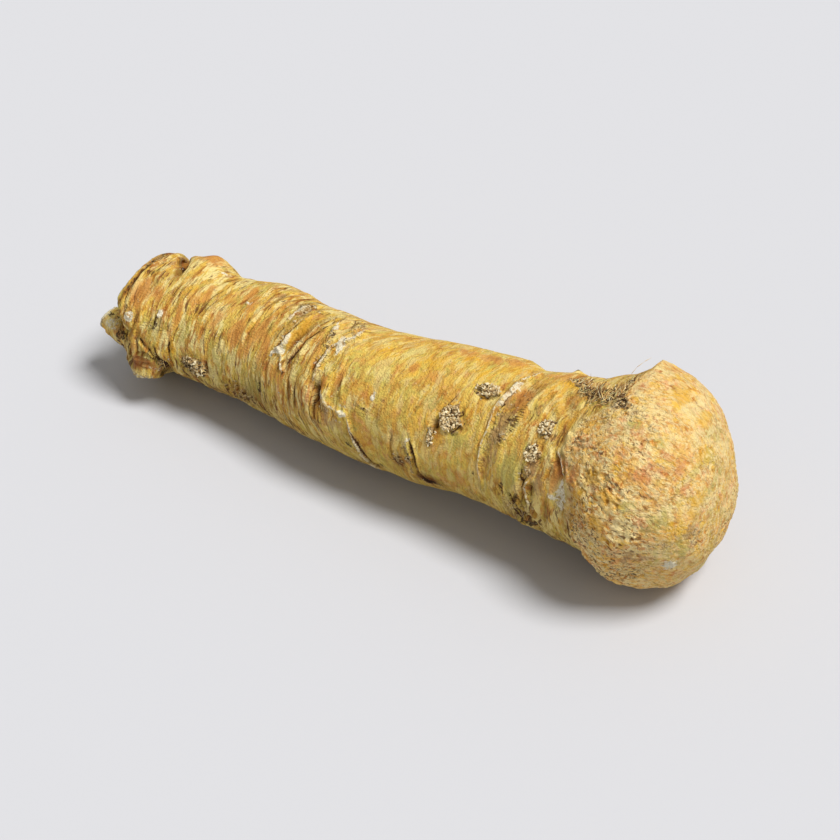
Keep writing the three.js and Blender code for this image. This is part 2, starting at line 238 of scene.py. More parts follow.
# Stains of each tint: their strength, place and size.
STAINS = {
    "orange": (
        (1, -78, -33, 4, 5), (1.3, -89.7, 29, 3, 5.6), (1, -84.8, 25, 2.2, 2.6), (1.2, -75.9, 38, 1.5, 4.4),
        (0.7, -76.6, 52, 1.2, 3), (1.1, -69.8, 7, 1.5, 4), (0.7, -72.6, 20, 1.5, 4), (0.9, -63.4, 29, 2, 3.6),
        (1, -57.8, -9, 1.6, 4), (1.2, -54.8, 36, 2.6, 5), (1, -54.6, 4, 2, 4), (1, -47.3, 28, 3, 5),
        (0.8, -50, 48, 3, 5), (0.6, -61, 12, 2, 4), (0.9, -43.6, 44, 1.8, 6), (0.8, -38.9, 24, 0.7, 3.6),
        (0.7, -38, 60, 2, 4), (0.5, -66, 62, 2, 5), (1.1, -97.2, 82, 1.6, 1.8), (1, -84.2, 75, 1.4, 1.2),
        (0.9, -88.4, 82, 2, 2.4), (0.8, -84, 96, 2, 1.6), (0.9, -88.4, 91, 1.6, 2), (0.9, -17.6, -6, 1.6, 3),
        (1, -19.6, 53, 1, 3.4), (0.7, -15.5, 44, 1.6, 4), (0.6, -26, 30, 1.2, 5), (1, 1, 26, 0.9, 5.5),
        (1, 5.8, 20, 2, 2.6), (1, 12.3, 21, 2.2, 1.8), (0.6, 9.6, 28, 1.4, 1.4), (1, -11.3, 26, 1.3, 1),
        (0.7, -11.7, 44, 1, 2), (0.8, -5.1, 51, 1, 2.4), (1, 16, -17, 4, 2.6), (1.1, 24, -19, 5, 2.6),
        (1, 31, -22, 4, 3), (0.7, 11.1, 65, 1, 1.6), (0.7, 4, -20, 4, 2.4), (0.7, 30, 94, 2, 3),
        (0.7, 20, 92, 1.6, 2.4), (0.8, 12.5, 100, 1.4, 2), (0.8, 25.2, 77, 2.2, 1.2),
        (0.8, 28.2, 102, 1.6, 2.4), (0.6, 19.6, 74, 1.4, 3), (0.4, 7, 58, 2.6, 1.6),
        (1.2, 41.4, 16, 2.4, 4.6), (0.7, 56, 4, 3, 2), (0.9, 48, -20, 5, 3.4), (1.4, 60.2, 58, 1.9, 5.8),
        (1.1, 60.6, 68, 1.7, 3), (0.8, 67, 55, 2.4, 4), (0.8, 85, 45, 4.4, 3.4), (0.6, 92.6, 27, 3, 2),
        (0.6, 92, 55, 2, 2), (0.7, 72, 8, 3, 2),
    ),
    "yellow": (
        (1.1, -35, 8, 1.6, 5), (0.9, -36, 26, 1.2, 4), (0.8, -79.5, 66, 1.2, 4.4), (0.7, -75.2, 76, 1.2, 5),
        (1.1, -75.9, 42, 1, 2.6), (0.9, -101.4, 88, 2.2, 1.6), (0.8, 20, -8, 4, 2.4), (0.7, 30, -6, 4, 2.4),
        (0.7, 2, -14, 6, 3), (0.7, 10, 8, 6, 4), (0.6, -8, 10, 5, 4), (0.9, 26, 4, 3, 3),
        (0.8, 34, -16, 3, 4), (0.8, 51, -8, 4, 2.6), (0.7, 58, 24, 2.6, 3), (0.9, 70, 64, 2.6, 3),
        (1.1, 85, -14, 2.6, 5), (1, 93, -16, 2.4, 6), (1, 73, 52, 4, 3), (1, 80, 60, 4, 3),
        (0.9, 101, 50, 2.4, 6), (0.8, 78, 76, 5, 3), (0.8, 99, 66, 3, 6), (0.7, 66, 26, 3, 2.6),
        (0.8, 97, 10, 2, 6),
    ),
    "red": (
        (0.8, -34.8, 74, 1.8, 5), (1.3, -86.6, 97, 4, 2.4), (1.2, -82, 100, 2.8, 2), (0.8, -23, 68, 0.9, 3.6),
        (0.6, -26, 84, 3.6, 2.8), (0.5, -2, -18, 5, 2.4), (0.6, 43.4, 13, 1.2, 2.4), (1, 60.8, 56, 0.9, 4),
        (0.9, 63, 52, 1.8, 2.8), (0.8, 67.4, 91, 1.8, 2), (0.7, 73, 101, 1.4, 1.8), (0.7, 66.6, 58, 2, 3.6),
        (0.6, 80, 22, 4, 3), (0.6, 79, 34, 3.6, 3), (0.8, 86.2, 43, 4, 1.8), (0.8, 89, 36, 3.4, 1.8),
        (0.8, 91.4, 26, 3.4, 1.5), (1, 94.4, 31, 1.8, 3.6), (0.9, 97.2, 39, 1.4, 3),
        (0.6, 102.5, 66, 1.6, 2.6), (0.6, 92, 80, 2, 1.6), (0.7, 92.5, 93, 2.6, 2),
    ),
    "green": (
        (0.7, -81, 60, 3, 5), (0.8, -87, 19, 1.4, 3), (0.8, -66.5, 80, 1.4, 1.8), (0.6, -72, 56, 2, 6),
        (0.6, -58, 70, 4, 5), (0.6, -44, 66, 3, 5), (0.8, -45, 84, 5, 6), (0.9, -56.5, 5, 1.8, 2.2),
        (0.6, -14, 56, 1.6, 4.6), (0.5, -29.5, 56, 1.8, 5), (0.7, 28, 62, 3, 4), (0.6, 4, 70, 3, 4),
        (0.8, 12.6, 84, 1, 3.4), (0.5, 16, 40, 3, 3.4), (1.2, 46, 69.5, 3.4, 5.4), (1, 54.4, 75, 1.2, 2.2),
        (0.8, 47, 88, 1.6, 2.6), (1, 63.4, 73, 2.4, 5), (1, 78.7, 19, 2, 1.5), (0.7, 88, 22, 2.6, 2),
        (0.7, 85, 60, 3, 2.6), (0.6, 94, 66, 4, 4), (0.7, 101, 84, 3, 6), (0.6, 102, 20, 1.6, 8),
    ),
    # Patches of painted shade in hollows and on shaded walls, such as the cleft's wall
    "painted_shade": (
        (0.5, -46, 102, 8, 5), (1.2, -84.8, -22, 1.6, 6), (1, -90.6, 96, 0.9, 3.4), (0.8, -85, 101, 2.6, 0.6),
        (0.7, 10, 98, 2, 3), (1.2, 19, 108, 3.8, 2.6), (0.9, 67, 68, 1.8, 4), (0.9, 68.4, 79, 2, 4),
    ),
    "pale": (
        (0.7, -56.3, 3, 1.3, 1.3), (0.9, -71.5, -26, 1.6, 1), (1.3, -90.8, 53, 1.5, 1.6),
        (0.9, -81.1, 42.5, 0.9, 1.4), (0.9, -99.8, 76, 2, 1.9), (1, -85.4, 108, 4.2, 1.1),
        (0.7, -80.8, 103, 2, 1), (1.2, -37.2, 28, 0.7, 2.2), (1.3, -38.2, 40, 1.6, 1.4),
        (1, -40.2, 43, 0.9, 1.8), (1.4, -19.8, 17, 1.4, 3.4), (0.9, -24.9, 4, 1, 2), (1, -10.8, 72, 2, 1.2),
        (0.7, -19, 64, 0.8, 1.6), (1, -2.3, 50.6, 0.8, 2.2), (0.9, 12, 73.5, 0.8, 1),
        (0.7, 37.6, 8, 1.6, 3.4), (1.1, 63, 69, 1.5, 2.8), (1, 61.6, 76, 2.2, 1.6), (0.9, 64.4, 78, 1.6, 3.2),
        (1, 69.4, 104, 2, 2.6), (1.2, 98.5, 105, 2.4, 2.6),
    ),
    "dark": (
        # The third stain below, at -84.6, -22, is painted shadow on the wall of the cleft
        (0.7, -92.4, 50, 0.7, 3), (0.6, -81.8, 50, 0.7, 3.4), (1.1, -84.6, -22, 1.1, 4),
        (0.8, -42.3, 82, 1, 3), (0.8, -69.6, 90, 1.4, 2.4), (0.7, -64.4, 89, 1.6, 1.6),
        (0.9, -101.6, 64, 1.5, 1.2), (0.7, -98.6, 68, 1.4, 1), (0.8, -95.6, 88, 1.6, 3.6),
        (0.9, -92.6, 78, 1.2, 3.6), (1.1, -77.6, 99, 1.2, 2.6), (0.8, -79.6, 91, 1, 1.2),
        (0.8, -34.6, 58, 0.8, 0.8), (0.6, -24.2, 10, 0.8, 1.6), (0.8, -8, 98, 1.4, 1.4),
        (0.6, 1, 51, 0.8, 0.9), (1, 19.5, 111, 3.2, 2), (0.6, 2, 113, 3, 2.4), (0.8, 35, 82, 0.7, 0.8),
        (0.9, 44.2, 84, 1.2, 1.6), (0.9, 48.9, 88, 1.2, 2.2), (0.9, 48.7, -38, 0.9, 1.4),
        (0.9, 53, 112, 3.4, 3), (0.5, 71, 92, 3, 4), (0.7, 71, 50, 1.4, 0.7),
    ),
    "cork": (
        (1, -67, 90, 5, 3.6), (0.6, -50, 108, 7, 6), (0.9, -38.6, -12, 2, 5), (0.6, -97.4, 74, 3, 3.4),
        (0.8, -19.2, -8, 2.2, 4.6), (0.7, -24.5, 14, 1.6, 4.6), (0.6, -20, 70, 2.4, 3),
        (0.8, 8.8, 94, 2.4, 3), (0.5, 41.8, 35, 2.6, 3.6), (0.7, 40.4, 48, 2, 3), (0.8, 51.4, 66, 2.2, 2),
        (0.7, 50, 100, 5, 5), (0.7, 84, 17, 1.4, 1.2), (0.6, 96, 84, 4, 2.4), (0.5, 75, 88, 8, 8),
        (0.5, 84, 112, 12, 7), (0.7, 103, 78, 2, 4), (0.6, 76, 11, 5, 2.6), (0.4, 71, 16, 3, 3),
    ),
    "worn_and_highlight": (
        (2, -100.2, 77, 2.4, 2.2), (1.6, -85.6, 107, 4.6, 1.3), (1.4, 63.4, 72, 2.4, 4.6),
        (1.4, 61.4, 30, 1.4, 4.4), (1.5, 60.4, 40, 1.3, 4),
    ),
    "mauve": (
        (0.6, -14, 80, 5, 4), (0.9, 38.8, 42, 2.8, 8), (0.8, 39, 62, 2.4, 5), (0.8, 37, 20, 1.4, 5),
        (1, 52.6, 63, 2.6, 3.4), (0.9, 56, 72, 2.6, 3.4), (0.8, 101.5, 70, 2.4, 3.6), (0.7, 88, 94, 6, 3),
    ),
    "nicks": (
        (1, 40.6, 48, 1.6, 1.4), (1.3, 41.6, 38, 2.4, 2.4), (1.3, 42.6, 31, 2, 2.4),
        (0.9, 43.2, 22, 1.4, 2.4), (0.9, 43.2, 15, 1.2, 1.6), (0.9, 10, 95, 1.6, 2.6),
    ),
}

# The sides turned away have more stains too, at random places.
UNSEEN_TINTS = ("orange", "orange", "orange", "green", "red", "yellow", "cork", "pale")
UNSEEN_STAINS = 70

# Scars where side roots grew: place, size, height, and how many crumbs of cork lie on them.
Scar = namedtuple("Scar", "x angle along around height crumbs")
SCARS = (
    Scar(23, 48, 3.7, 4.4, 1.1, 150),
    Scar(18.9, 65, 1.2, 3.2, 0.5, 24),
    Scar(30.4, 18, 4.0, 2.1, 0.9, 100),
    Scar(53, 33, 2.4, 2.8, 0.7, 60),
    Scar(51.9, 52, 2.6, 2.6, 0.6, 60),
    Scar(-67, 89, 4.2, 2.6, 0.5, 30),
    Scar(-45, 262, 3.6, 2.6, 1.0, 80),
    Scar(-12, 198, 3.0, 3.6, 0.9, 110),
    Scar(30, 232, 3.4, 2.6, 0.9, 100),
    Scar(8, 290, 2.4, 3.2, 0.8, 80),
    Scar(-72, 196, 2.8, 2.2, 0.8, 70),
    Scar(54, 182, 3.2, 3.0, 0.8, 64),
    Scar(56, 276, 2.6, 3.6, 0.8, 64),
)
CRUMB_SPREAD = 1.1  # the crumbs reach a little past their scar
CRUMB_RADIUS = (0.3, 0.6)
CRUMB_STRETCH = ((1.0, 0.4, 0.4), (2.1, 1.0, 0.9))  # least and most, along the crumb's own three axes
CRUMB_DENTS = (0.65, 1.2)  # how far in or out each of its corners is, as a part of its radius
CRUMB_LIFT = 0.12
CRUMB_SIDE = 1.2  # corners of a crumb of radius 1 are neighbours if they are closer than this

# Where the corky face of the crown starts: x at each angle round the root.
CROWN_RIM = (
    (-20, 73), (12, 68), (22, 62), (30, 60), (42, 60), (52, 62), (65, 65), (78, 66), (92, 68), (105, 71),
    (125, 73), (150, 72), (172, 76), (188, 71), (204, 74), (222, 79), (240, 74), (258, 80), (280, 75),
    (300, 79), (320, 72),
)

# How wrinkled the shaft is at each x.
WRINKLED = (
    (-96, 1.0), (-60, 1.0), (-42, 0.9), (-25, 0.85), (-12, 0.5), (0, 0.28), (28, 0.26), (40, 0.45), (55, 0.8),
    (70, 0.9),
)

# Small corrections of the CAD shape: place, rise in mm, and how far it fades: mm along the root, and degrees
# round it.
SWELLINGS = (
    (-94, -18, 0.7, 4, 26), (-95, 103, -2.1, 2.6, 9), (-90.6, 112, 2.7, 2.2, 9), (-87.4, 118, -1.1, 2.2, 7),
    (-89, -34, 0.4, 2, 18), (-101.6, 64, -1.2, 1.5, 12), (-81.4, 124, -1, 4.2, 16), (-77, 138, -2, 6, 24),
    (-69, 138, -0.7, 4, 22), (-54, 133, -0.5, 7, 20), (-78, -36, 1.1, 3.6, 26), (-70, -50, -1.5, 4.2, 30),
    (-54, -42, 0.5, 6, 34), (-28, -40, 0.4, 6, 25), (-3, 127, 0.4, 9, 22), (11, 127, 0.7, 5, 20),
    (18, -42, 0.6, 8, 24), (25, 129, -0.5, 5, 20), (32.6, -42, 0.3, 1.4, 9), (38, -45, -1, 3.4, 24),
    (49, -40, 0.9, 4, 22), (55.5, -38, 0.9, 3, 22), (67, -36, -1.8, 4.2, 24), (72.4, -28, 0.5, 3, 16),
    (46, 69, 0.7, 4, 15), (57, 128, -0.6, 3, 20), (77, -50, -0.7, 4, 25), (61, 61, -1.6, 2.4, 15),
    (74, 118, -0.8, 5, 16), (85, 134, -0.2, 8, 20), (96, 106, -0.8, 7, 36), (101, -40, -0.8, 5, 54),
    (102, 160, -1.6, 5, 40), (96.6, -80, -0.5, 4, 18), (64, -37, -0.4, 2.6, 16), (-88.6, 114, -0.5, 2.4, 10),
    (-84, 144, -0.4, 3.4, 16), (-10, 125, 0.3, 9, 18), (-96, 14, 0.3, 2.4, 26), (-76.4, 126, -1, 2.2, 20),
    (-83, 153, -2.1, 5, 16), (48.6, -40, 0.9, 0.9, 6), (7, -38, 0.35, 6, 18), (85, 134, 0.3, 6, 14),
)

# Rings in the flesh of the cut end: radius, rise and width in mm.
CUT_RINGS = ((3.0, -0.2, 0.5), (7.4, -0.3, 0.5), (11.5, -0.5, 0.8))

# Tufts of bristles: place, size, how many, and their length in mm.
Tuft = namedtuple("Tuft", "x angle along around count length")
TUFTS = (
    Tuft(53.6, -15, 3.4, 2.6, 50, 2.6),
    Tuft(57.5, -7, 3.4, 3.6, 90, 2.8),
    Tuft(61.6, 0, 3.6, 3.8, 120, 3.0),
    Tuft(66.4, 3, 3.2, 4.2, 130, 3.0),
    Tuft(69.4, 0, 3.0, 4.2, 130, 2.6),
    Tuft(70, -9, 2.6, 3.6, 70, 2.6),
    Tuft(72, 8, 3.4, 2.6, 24, 1.5),
    Tuft(-67, 90, 5.0, 3.2, 46, 2.4),
    Tuft(-79, 94, 1.2, 2.6, 10, 1.8),
    Tuft(62, 232, 5.0, 5.0, 90, 3.0),
)
TUFT_LEAN = (0.7, 0.9, 0.5)  # the way that most of the bristles lean
BRISTLE_LENGTHS = (0.45, 1.2)  # least and most, as a part of their tuft's length
BRISTLE_RADIUS = (0.12, 0.3)
BRISTLE_TAPER = 0.8
BRISTLE_DEPTH = 0.25

# Single hairs: where they grow, and the places that they bend through, in mm from there.
HAIRS = (
    ((67.4, -16), ((0, 0, 0), (0.8, 0.6, 2.6), (2.0, 1.4, 5.0), (3.8, 2.4, 7.2), (5.4, 3.3, 8.6))),
    ((-66, 84), ((0, 0, 0), (0.4, -1.6, 0.6), (1.4, -2.9, 0.5), (2.8, -3.8, -0.3))),
    ((-78, 92), ((0, 0, 0), (0.9, -1.4, -0.2), (2.2, -2.2, -1.2))),
)
HAIR_RADIUS = 0.09
HAIR_DEPTH = 0.3  # how far under the skin they start

# Colours, as red, green and blue in two hexadecimal digits each. The shades darken what they are laid over.
TAN = "E0B050"
STRAW = "F4D264"
GOLD = "F4C24A"
CREAM = "FAE69A"
LEAF = "DECA64"
OCHRE = "E2A04C"
RUST = "A8652F"
BARK = "663C20"
UMBER = "3E2712"
LINE_BROWN = "563419"
WHITE = "F3E9CC"
YELLOW = "EFB42C"
ROSE = "D88654"
MOSS = "BDB25C"
MAUVE = "B08A5E"
PINK = "E8AC70"
CORK = "B8945E"
CORK_CREAM = "E9D5A4"
CROWN_TAN = "F7C66E"
CROWN_CREAM = "FADE96"
CROWN_GOLD = "F7C246"
CROWN_PINK = "F2AE7C"
CROWN_PALE = "FDE5A6"
PALE_LINE = "F2E3BE"
FLESH = "F3E9C8"
FLESH_RING = "D6BE84"
TAN_SHADE = "CA8E50"
PATCH_SHADE = "C6884E"
STREAK_SHADE = "BC8454"
HONEY_SHADE = "D69A48"
FIBRE_SHADE = "BE8246"
# The brown of the painted shade in hollows
PAINTED_SHADE_BROWN = "8E6236"
# Laid over the underside: partly its own greyer colour, partly painted shade
UNDERSIDE_COLOUR_AND_SHADE = "CFC39C"

# How the small bodies look. Each body has a shade from 0 to 1: colour is its colour at 0, and each of the
# others comes in between two shades. marks are small dark spots of a size in mm: the detail of their noise,
# and where on it they start, where they are at their strongest, and how strong that is.
SmallLook = namedtuple("SmallLook", "colour others size detail marks shader")
CRUMB_LOOK = SmallLook(
    colour="7A5C38",
    others=(("D2B47E", 0.02, 0.25), ("F6E8C0", 0.35, 0.8)),
    size=0.6,
    detail=3,
    marks=(0.54, 0.72, 0.4),
    shader={"Roughness": 0.8, "Specular IOR Level": 0.3},
)
BRISTLE_LOOK = SmallLook(
    colour="5E3A1A",
    others=(("CC9A54", 0.1, 0.3), ("F4D68C", 0.35, 0.6), ("C8C082", 0.7, 0.8), ("FDECBC", 0.8, 0.95)),
    size=0.8,
    detail=2,
    marks=(0.5, 0.7, 0.5),
    shader={"Roughness": 0.7},
)

# A layer of colour that shows where a noise is high. space is the kind of place that the noise is read at,
# along and across are the size of its lumps in mm, and detail, roughness and shift its other settings. The
# layer starts at low and is at its strongest, most, at high. how says whether it covers or darkens what is
# below it, and under how much more of it there is on the root's underside. The layer is multiplied by
# share times the strength of where, plus rest.
Layer = namedtuple(
    "Layer",
    "space along across detail roughness shift low high most colour how under where share rest",
    defaults=("MIX", 0.0, None, 1.0, 0.0),
)
SHAFT_LAYERS = (
    Layer("ring", 6, 12, 6, 0.65, 3, 0.45, 0.62, 0.75, GOLD),
    Layer("ring", 3.6, 9, 5, 0.6, 7, 0.48, 0.63, 0.75, LEAF, under=0.16),
    Layer("ring", 1.6, 3.2, 4, 0.6, 37, 0.53, 0.68, 0.55, PINK),
    Layer("ring", 1.7, 3.6, 4, 0.6, 43, 0.53, 0.67, 0.6, MOSS),
    Layer("ring", 2.4, 8, 5, 0.65, 23, 0.53, 0.68, 0.65, OCHRE, where="streaky"),
    Layer("ring", 0.9, 1.5, 3, 0.6, 49, 0.5, 0.6, 0.28, TAN_SHADE, "MULTIPLY"),
    Layer("ring", 2.6, 6, 4, 0.6, 63, 0.52, 0.66, 0.5, PATCH_SHADE, "MULTIPLY"),
    Layer("ring", 2.1, 7, 5, 0.65, 13, 0.49, 0.57, 0.85, CREAM, "MIX", 0.03, "streaky", 0.65, 0.35),
    Layer("ring", 2.0, 9, 5, 0.65, 29, 0.53, 0.65, 0.85, STREAK_SHADE, "MULTIPLY", where="streaky"),
    Layer("ring", 1.1, 5, 4, 0.6, 31, 0.55, 0.64, 0.65, RUST, where="streaky"),
    Layer("ring", 0.95, 6, 4, 0.6, 41, 0.57, 0.64, 0.85, BARK, under=0.05, where="streaky"),
    Layer("ring", 0.8, 1.8, 3, 0.5, 47, 0.6, 0.74, 0.45, RUST),
)
CROWN_LAYERS = (
    Layer("place", 6, 6, 5, 0.65, 5, 0.49, 0.62, 0.8, CROWN_GOLD),
    Layer("place", 5, 5, 5, 0.65, 9, 0.5, 0.66, 0.7, CROWN_PINK),
    Layer("place", 6, 6, 5, 0.65, 17, 0.56, 0.7, 0.42, MOSS),
    Layer("ring", 1.8, 14, 3, 0.5, 21, 0.48, 0.6, 0.45, MOSS, where="arcs"),
    Layer("fibres", 4.4, 2.4, 4, 0.6, 33, 0.52, 0.64, 0.6, HONEY_SHADE, "MULTIPLY"),
    Layer("fibres", 2.2, 1.1, 4, 0.6, 15, 0.48, 0.55, 0.9, CROWN_PALE, where="rough", share=0.4, rest=0.6),
    Layer("fibres", 2.0, 0.9, 3, 0.6, 19, 0.57, 0.62, 0.9, FIBRE_SHADE, "MULTIPLY", 0.0, "rough", 0.65, 0.22),
    Layer("fibres", 2.2, 0.9, 2, 0.5, 25, 0.6, 0.65, 0.85, BARK, where="rough", share=0.9, rest=0.1),
)

# How the tints of the stains look: the noise that makes their edges ragged, their colour, and where they
# start, where they are at their strongest, and how strong that is.
TintLook = namedtuple("TintLook", "tint noise colour low high most")
TINT_LOOKS = (
    TintLook("green", "streaks", MOSS, 0.58, 0.8, 0.65),
    TintLook("yellow", "streaks", YELLOW, 0.56, 0.86, 0.6),
    TintLook("orange", "streaks", OCHRE, 0.58, 0.84, 0.8),
    TintLook("orange", "fine_streaks", RUST, 0.74, 0.96, 0.45),
    TintLook("red", "fine_streaks", ROSE, 0.56, 0.9, 0.6),
    TintLook("mauve", "streaks", MAUVE, 0.6, 0.8, 0.7),
)


def linear(colour):
    """A colour in hexadecimal digits as linear red, green, blue and alpha."""
    parts = [int(colour[i : i + 2], 16) / 255 for i in (0, 2, 4)]
    return [part / 12.92 if part <= 0.04045 else ((part + 0.055) / 1.055) ** 2.4 for part in parts] + [1]


# Noise and other small sums on many points


def gradient_noise(points, seed):
    """Smooth noise of about -1 to 1 at each point, with lumps about 1 across."""
    chance = np.random.default_rng(seed)
    order = chance.permutation(NOISE_SLOPES)
    slopes = chance.normal(size=(NOISE_SLOPES, 3))
    slopes /= np.linalg.norm(slopes, axis=1)[:, None]
    cell = np.floor(points).astype(np.int64)
    inside = points - cell
    fade = inside**3 * (inside * (inside * 6 - 15) + 10)
    total = np.zeros(len(points))
    for corner in np.ndindex(2, 2, 2):
        key = 0
        for axis in range(3):
            key = order[(key + cell[:, axis] + corner[axis]) & (NOISE_SLOPES - 1)]
        weight = np.prod(np.where(corner, fade, 1 - fade), axis=1)
        total += weight * np.einsum("ij,ij->i", slopes[key], inside - corner)
    return total * NOISE_GAIN


def smooth_step(value, low, high):
    """0 below low, 1 above high, and a smooth rise between them."""
    part = np.clip((value - low) / (high - low), 0, 1)
    return part * part * (3 - 2 * part)


def bell(value, middle, width):
    """1 where value is middle, falling smoothly to 0 on both sides, and about a third at width from it."""
    return np.exp(-(((value - middle) / width) ** 2))


def turned(angle, other):
    """The turn from other to angle in degrees, between -180 and 180."""
    return (angle - other + 180) % 360 - 180


# Places on the root


def middle_of(x):
    """The points of the root's middle line at places x, level beyond the crown's widest ring."""
    along = np.clip((x - MIDDLE_START[0]) / (MIDDLE_END[0] - MIDDLE_START[0]), -0.2, 1)
    middle = MIDDLE_START + along[:, None] * (MIDDLE_END - MIDDLE_START)
    middle[:, 0] = x
    return middle


def skin_place(tree, x, angle):
    """The point of the skin at a place, and its normal."""
    middle = middle_of(np.array([float(x)]))[0]
    turn = math.radians(angle)
    outward = Vector((0, -math.sin(turn), math.cos(turn)))
    far = Vector(middle) + outward * OUTSIDE
    point, normal, _, _ = tree.ray_cast(far, -outward)
    if point is None:
        point, normal, _, _ = tree.find_nearest(far)
    return point, normal


def skin_axes(tree, x, angle):
    """The point of the skin at a place, its normal, and the ways along and round the root there."""
    middle, normal = skin_place(tree, x, angle)
    round_way = Vector((1, 0, 0)).cross(normal).normalized()
    return middle, normal, normal.cross(round_way), round_way


def ring_bow(x):
    """How far the rings of the skin bow to -X at the front, in mm."""
    return RING_BOW * smooth_step(x, *RING_BOW_FROM) + CREASED_BOW * bell(x, *CREASED_STRETCH)


def crown_rim(angle):
    """Where the crown's corky face starts, at each angle."""
    return np.interp(angle, *zip(*CROWN_RIM), period=360)


def fibre_axes():
    """Columns that turn a place into one whose first part runs along the fibres of the crown."""
    along = np.array(CROWN_FIBRES) / np.linalg.norm(CROWN_FIBRES)
    across = np.cross(along, (0, 0, 1))
    across /= np.linalg.norm(across)
    return np.stack([along, across, np.cross(along, across)], axis=1)


def read_vectors(items, name):
    """A vector property of many items as an array."""
    values = np.empty(len(items) * 3, dtype=np.float32)
    items.foreach_get(name, values)
    return values.reshape(len(items), 3).astype(np.float64)


def search_tree(mesh):
    """A search tree over the faces of a mesh."""
    corners = [vertex.co for vertex in mesh.vertices]
    return BVHTree.FromPolygons(corners, [polygon.vertices for polygon in mesh.polygons])


class Skin:
    """The points of the fine mesh, and what is worked out at each of them."""

    def __init__(self, mesh):
        self.points = read_vectors(mesh.vertices, "co")
        self.normals = read_vectors(mesh.vertex_normals, "vector")
        self.tree = search_tree(mesh)
        self.x = self.points[:, 0]
        out = self.points - middle_of(self.x)
        self.angle = np.degrees(np.arctan2(-out[:, 1], out[:, 2]))
        self.ring = self.points.copy()
        self.ring[:, 0] += ring_bow(self.x) * np.cos(np.radians(self.angle - FRONT))
        self.ring[:, 0] += 0.9 * self.noise(7, 25) + 0.3 * self.noise(3, 26)
        wobble = [self.noise(5, 11 + i) * 0.7 + self.noise(1.8, 21 + i) * 0.4 for i in range(3)]
        self.wobbly = self.points + np.stack(wobble, axis=1)
        self.fibres = self.wobbly @ fibre_axes()
        self.height = np.zeros(len(self.points))
        self.tints = {name: np.zeros(len(self.points)) for name in TINTS}
        self.sides = {shade: np.full(len(self.points), NO_LINE) for shade in ("dark", "pale")}

    def noise(self, size, seed):
        """Even noise with lumps about size mm across."""
        return gradient_noise(self.points / size, seed)

    def ring_noise(self, along, around, seed):
        """Noise that is stretched round the root: lumps along mm by around mm."""
        return gradient_noise(self.ring / (along, around, around), seed)

    def fibre_noise(self, along, across, seed):
        """Noise that is stretched along the fibres of the crown."""
        return gradient_noise(self.fibres / (along, across, across), seed)

    def tint(self, name, amount, where=slice(None)):
        """Adds a tint wherever it is stronger than what is there."""
        self.tints[name][where] = np.maximum(self.tints[name][where], amount)

    def oval_distance(self, x, angle, along, around):
        """How many times its own radius each point is from the middle of an oval on the skin."""
        middle, normal, along_way, round_way = skin_axes(self.tree, x, angle)
        away = self.wobbly - np.array(middle)
        radii = ((along_way, along), (round_way, around), (normal, 2 * max(along, around)))
        return np.sqrt(sum((away @ np.array(way) / radius) ** 2 for way, radius in radii))


# Relief of the skin, in mm. The last number of each noise is its seed.


def add_lumps(skin):
    """Broad unevenness, and the few places where the skin departs from the CAD solid."""
    skin.height += 0.45 * skin.noise(19, 31) + 0.22 * skin.noise(8, 32)
    skin.height += 0.5 * smooth_step(skin.x, *SHOOT_FROM) * skin.noise(3.2, 33)
    for x, angle, rise, reach, spread in SWELLINGS:
        skin.height += rise * bell(skin.x, x, reach) * bell(turned(skin.angle, angle), 0, spread)


def add_wrinkles(skin):
    """Wrinkles and fine lines round the root, strongest near the cut end and on the neck."""
    crown = skin.tints["crown"]
    hidden = smooth_step(np.abs(turned(skin.angle, -15)), 85, 130)
    saddle = bell(skin.x, SMOOTH_SADDLE["x"], SMOOTH_SADDLE["reach"])
    saddle *= bell(turned(skin.angle, SMOOTH_SADDLE["angle"]), 0, SMOOTH_SADDLE["spread"])
    strength = np.interp(skin.x, *zip(*WRINKLED))
    strength *= 1 + 0.4 * hidden
    strength *= 0.85 + 0.5 * skin.noise(14, 41)
    strength *= 1 - crown
    strength *= 1 - 0.75 * saddle
    grooves = smooth_step(-skin.ring_noise(1.9, 17, 42), 0.2, 0.75)
    welts = smooth_step(skin.ring_noise(2.4, 20, 43), 0.2, 0.8)
    relief = 0.4 * skin.ring_noise(3.6, 26, 44) + 0.3 * welts - 0.65 * grooves
    relief = strength * (relief + 0.14 * skin.ring_noise(1.0, 8, 45))
    skin.height += relief
    skin.tint("wrinkled", np.clip(strength, 0, 1))
    # The underside, which is painted darker: partly its own colour, partly painted shade
    skin.tint("under", smooth_step(np.abs(skin.angle), 66, 128) * (1 - 0.8 * crown))
    # Painted shade in the grooves of the wrinkles
    skin.tint("painted_shade", smooth_step(-relief, 0.1, 0.65))
    # Painted highlight on the raised welts
    skin.tint("worn_and_highlight", smooth_step(relief, 0.12, 0.55))


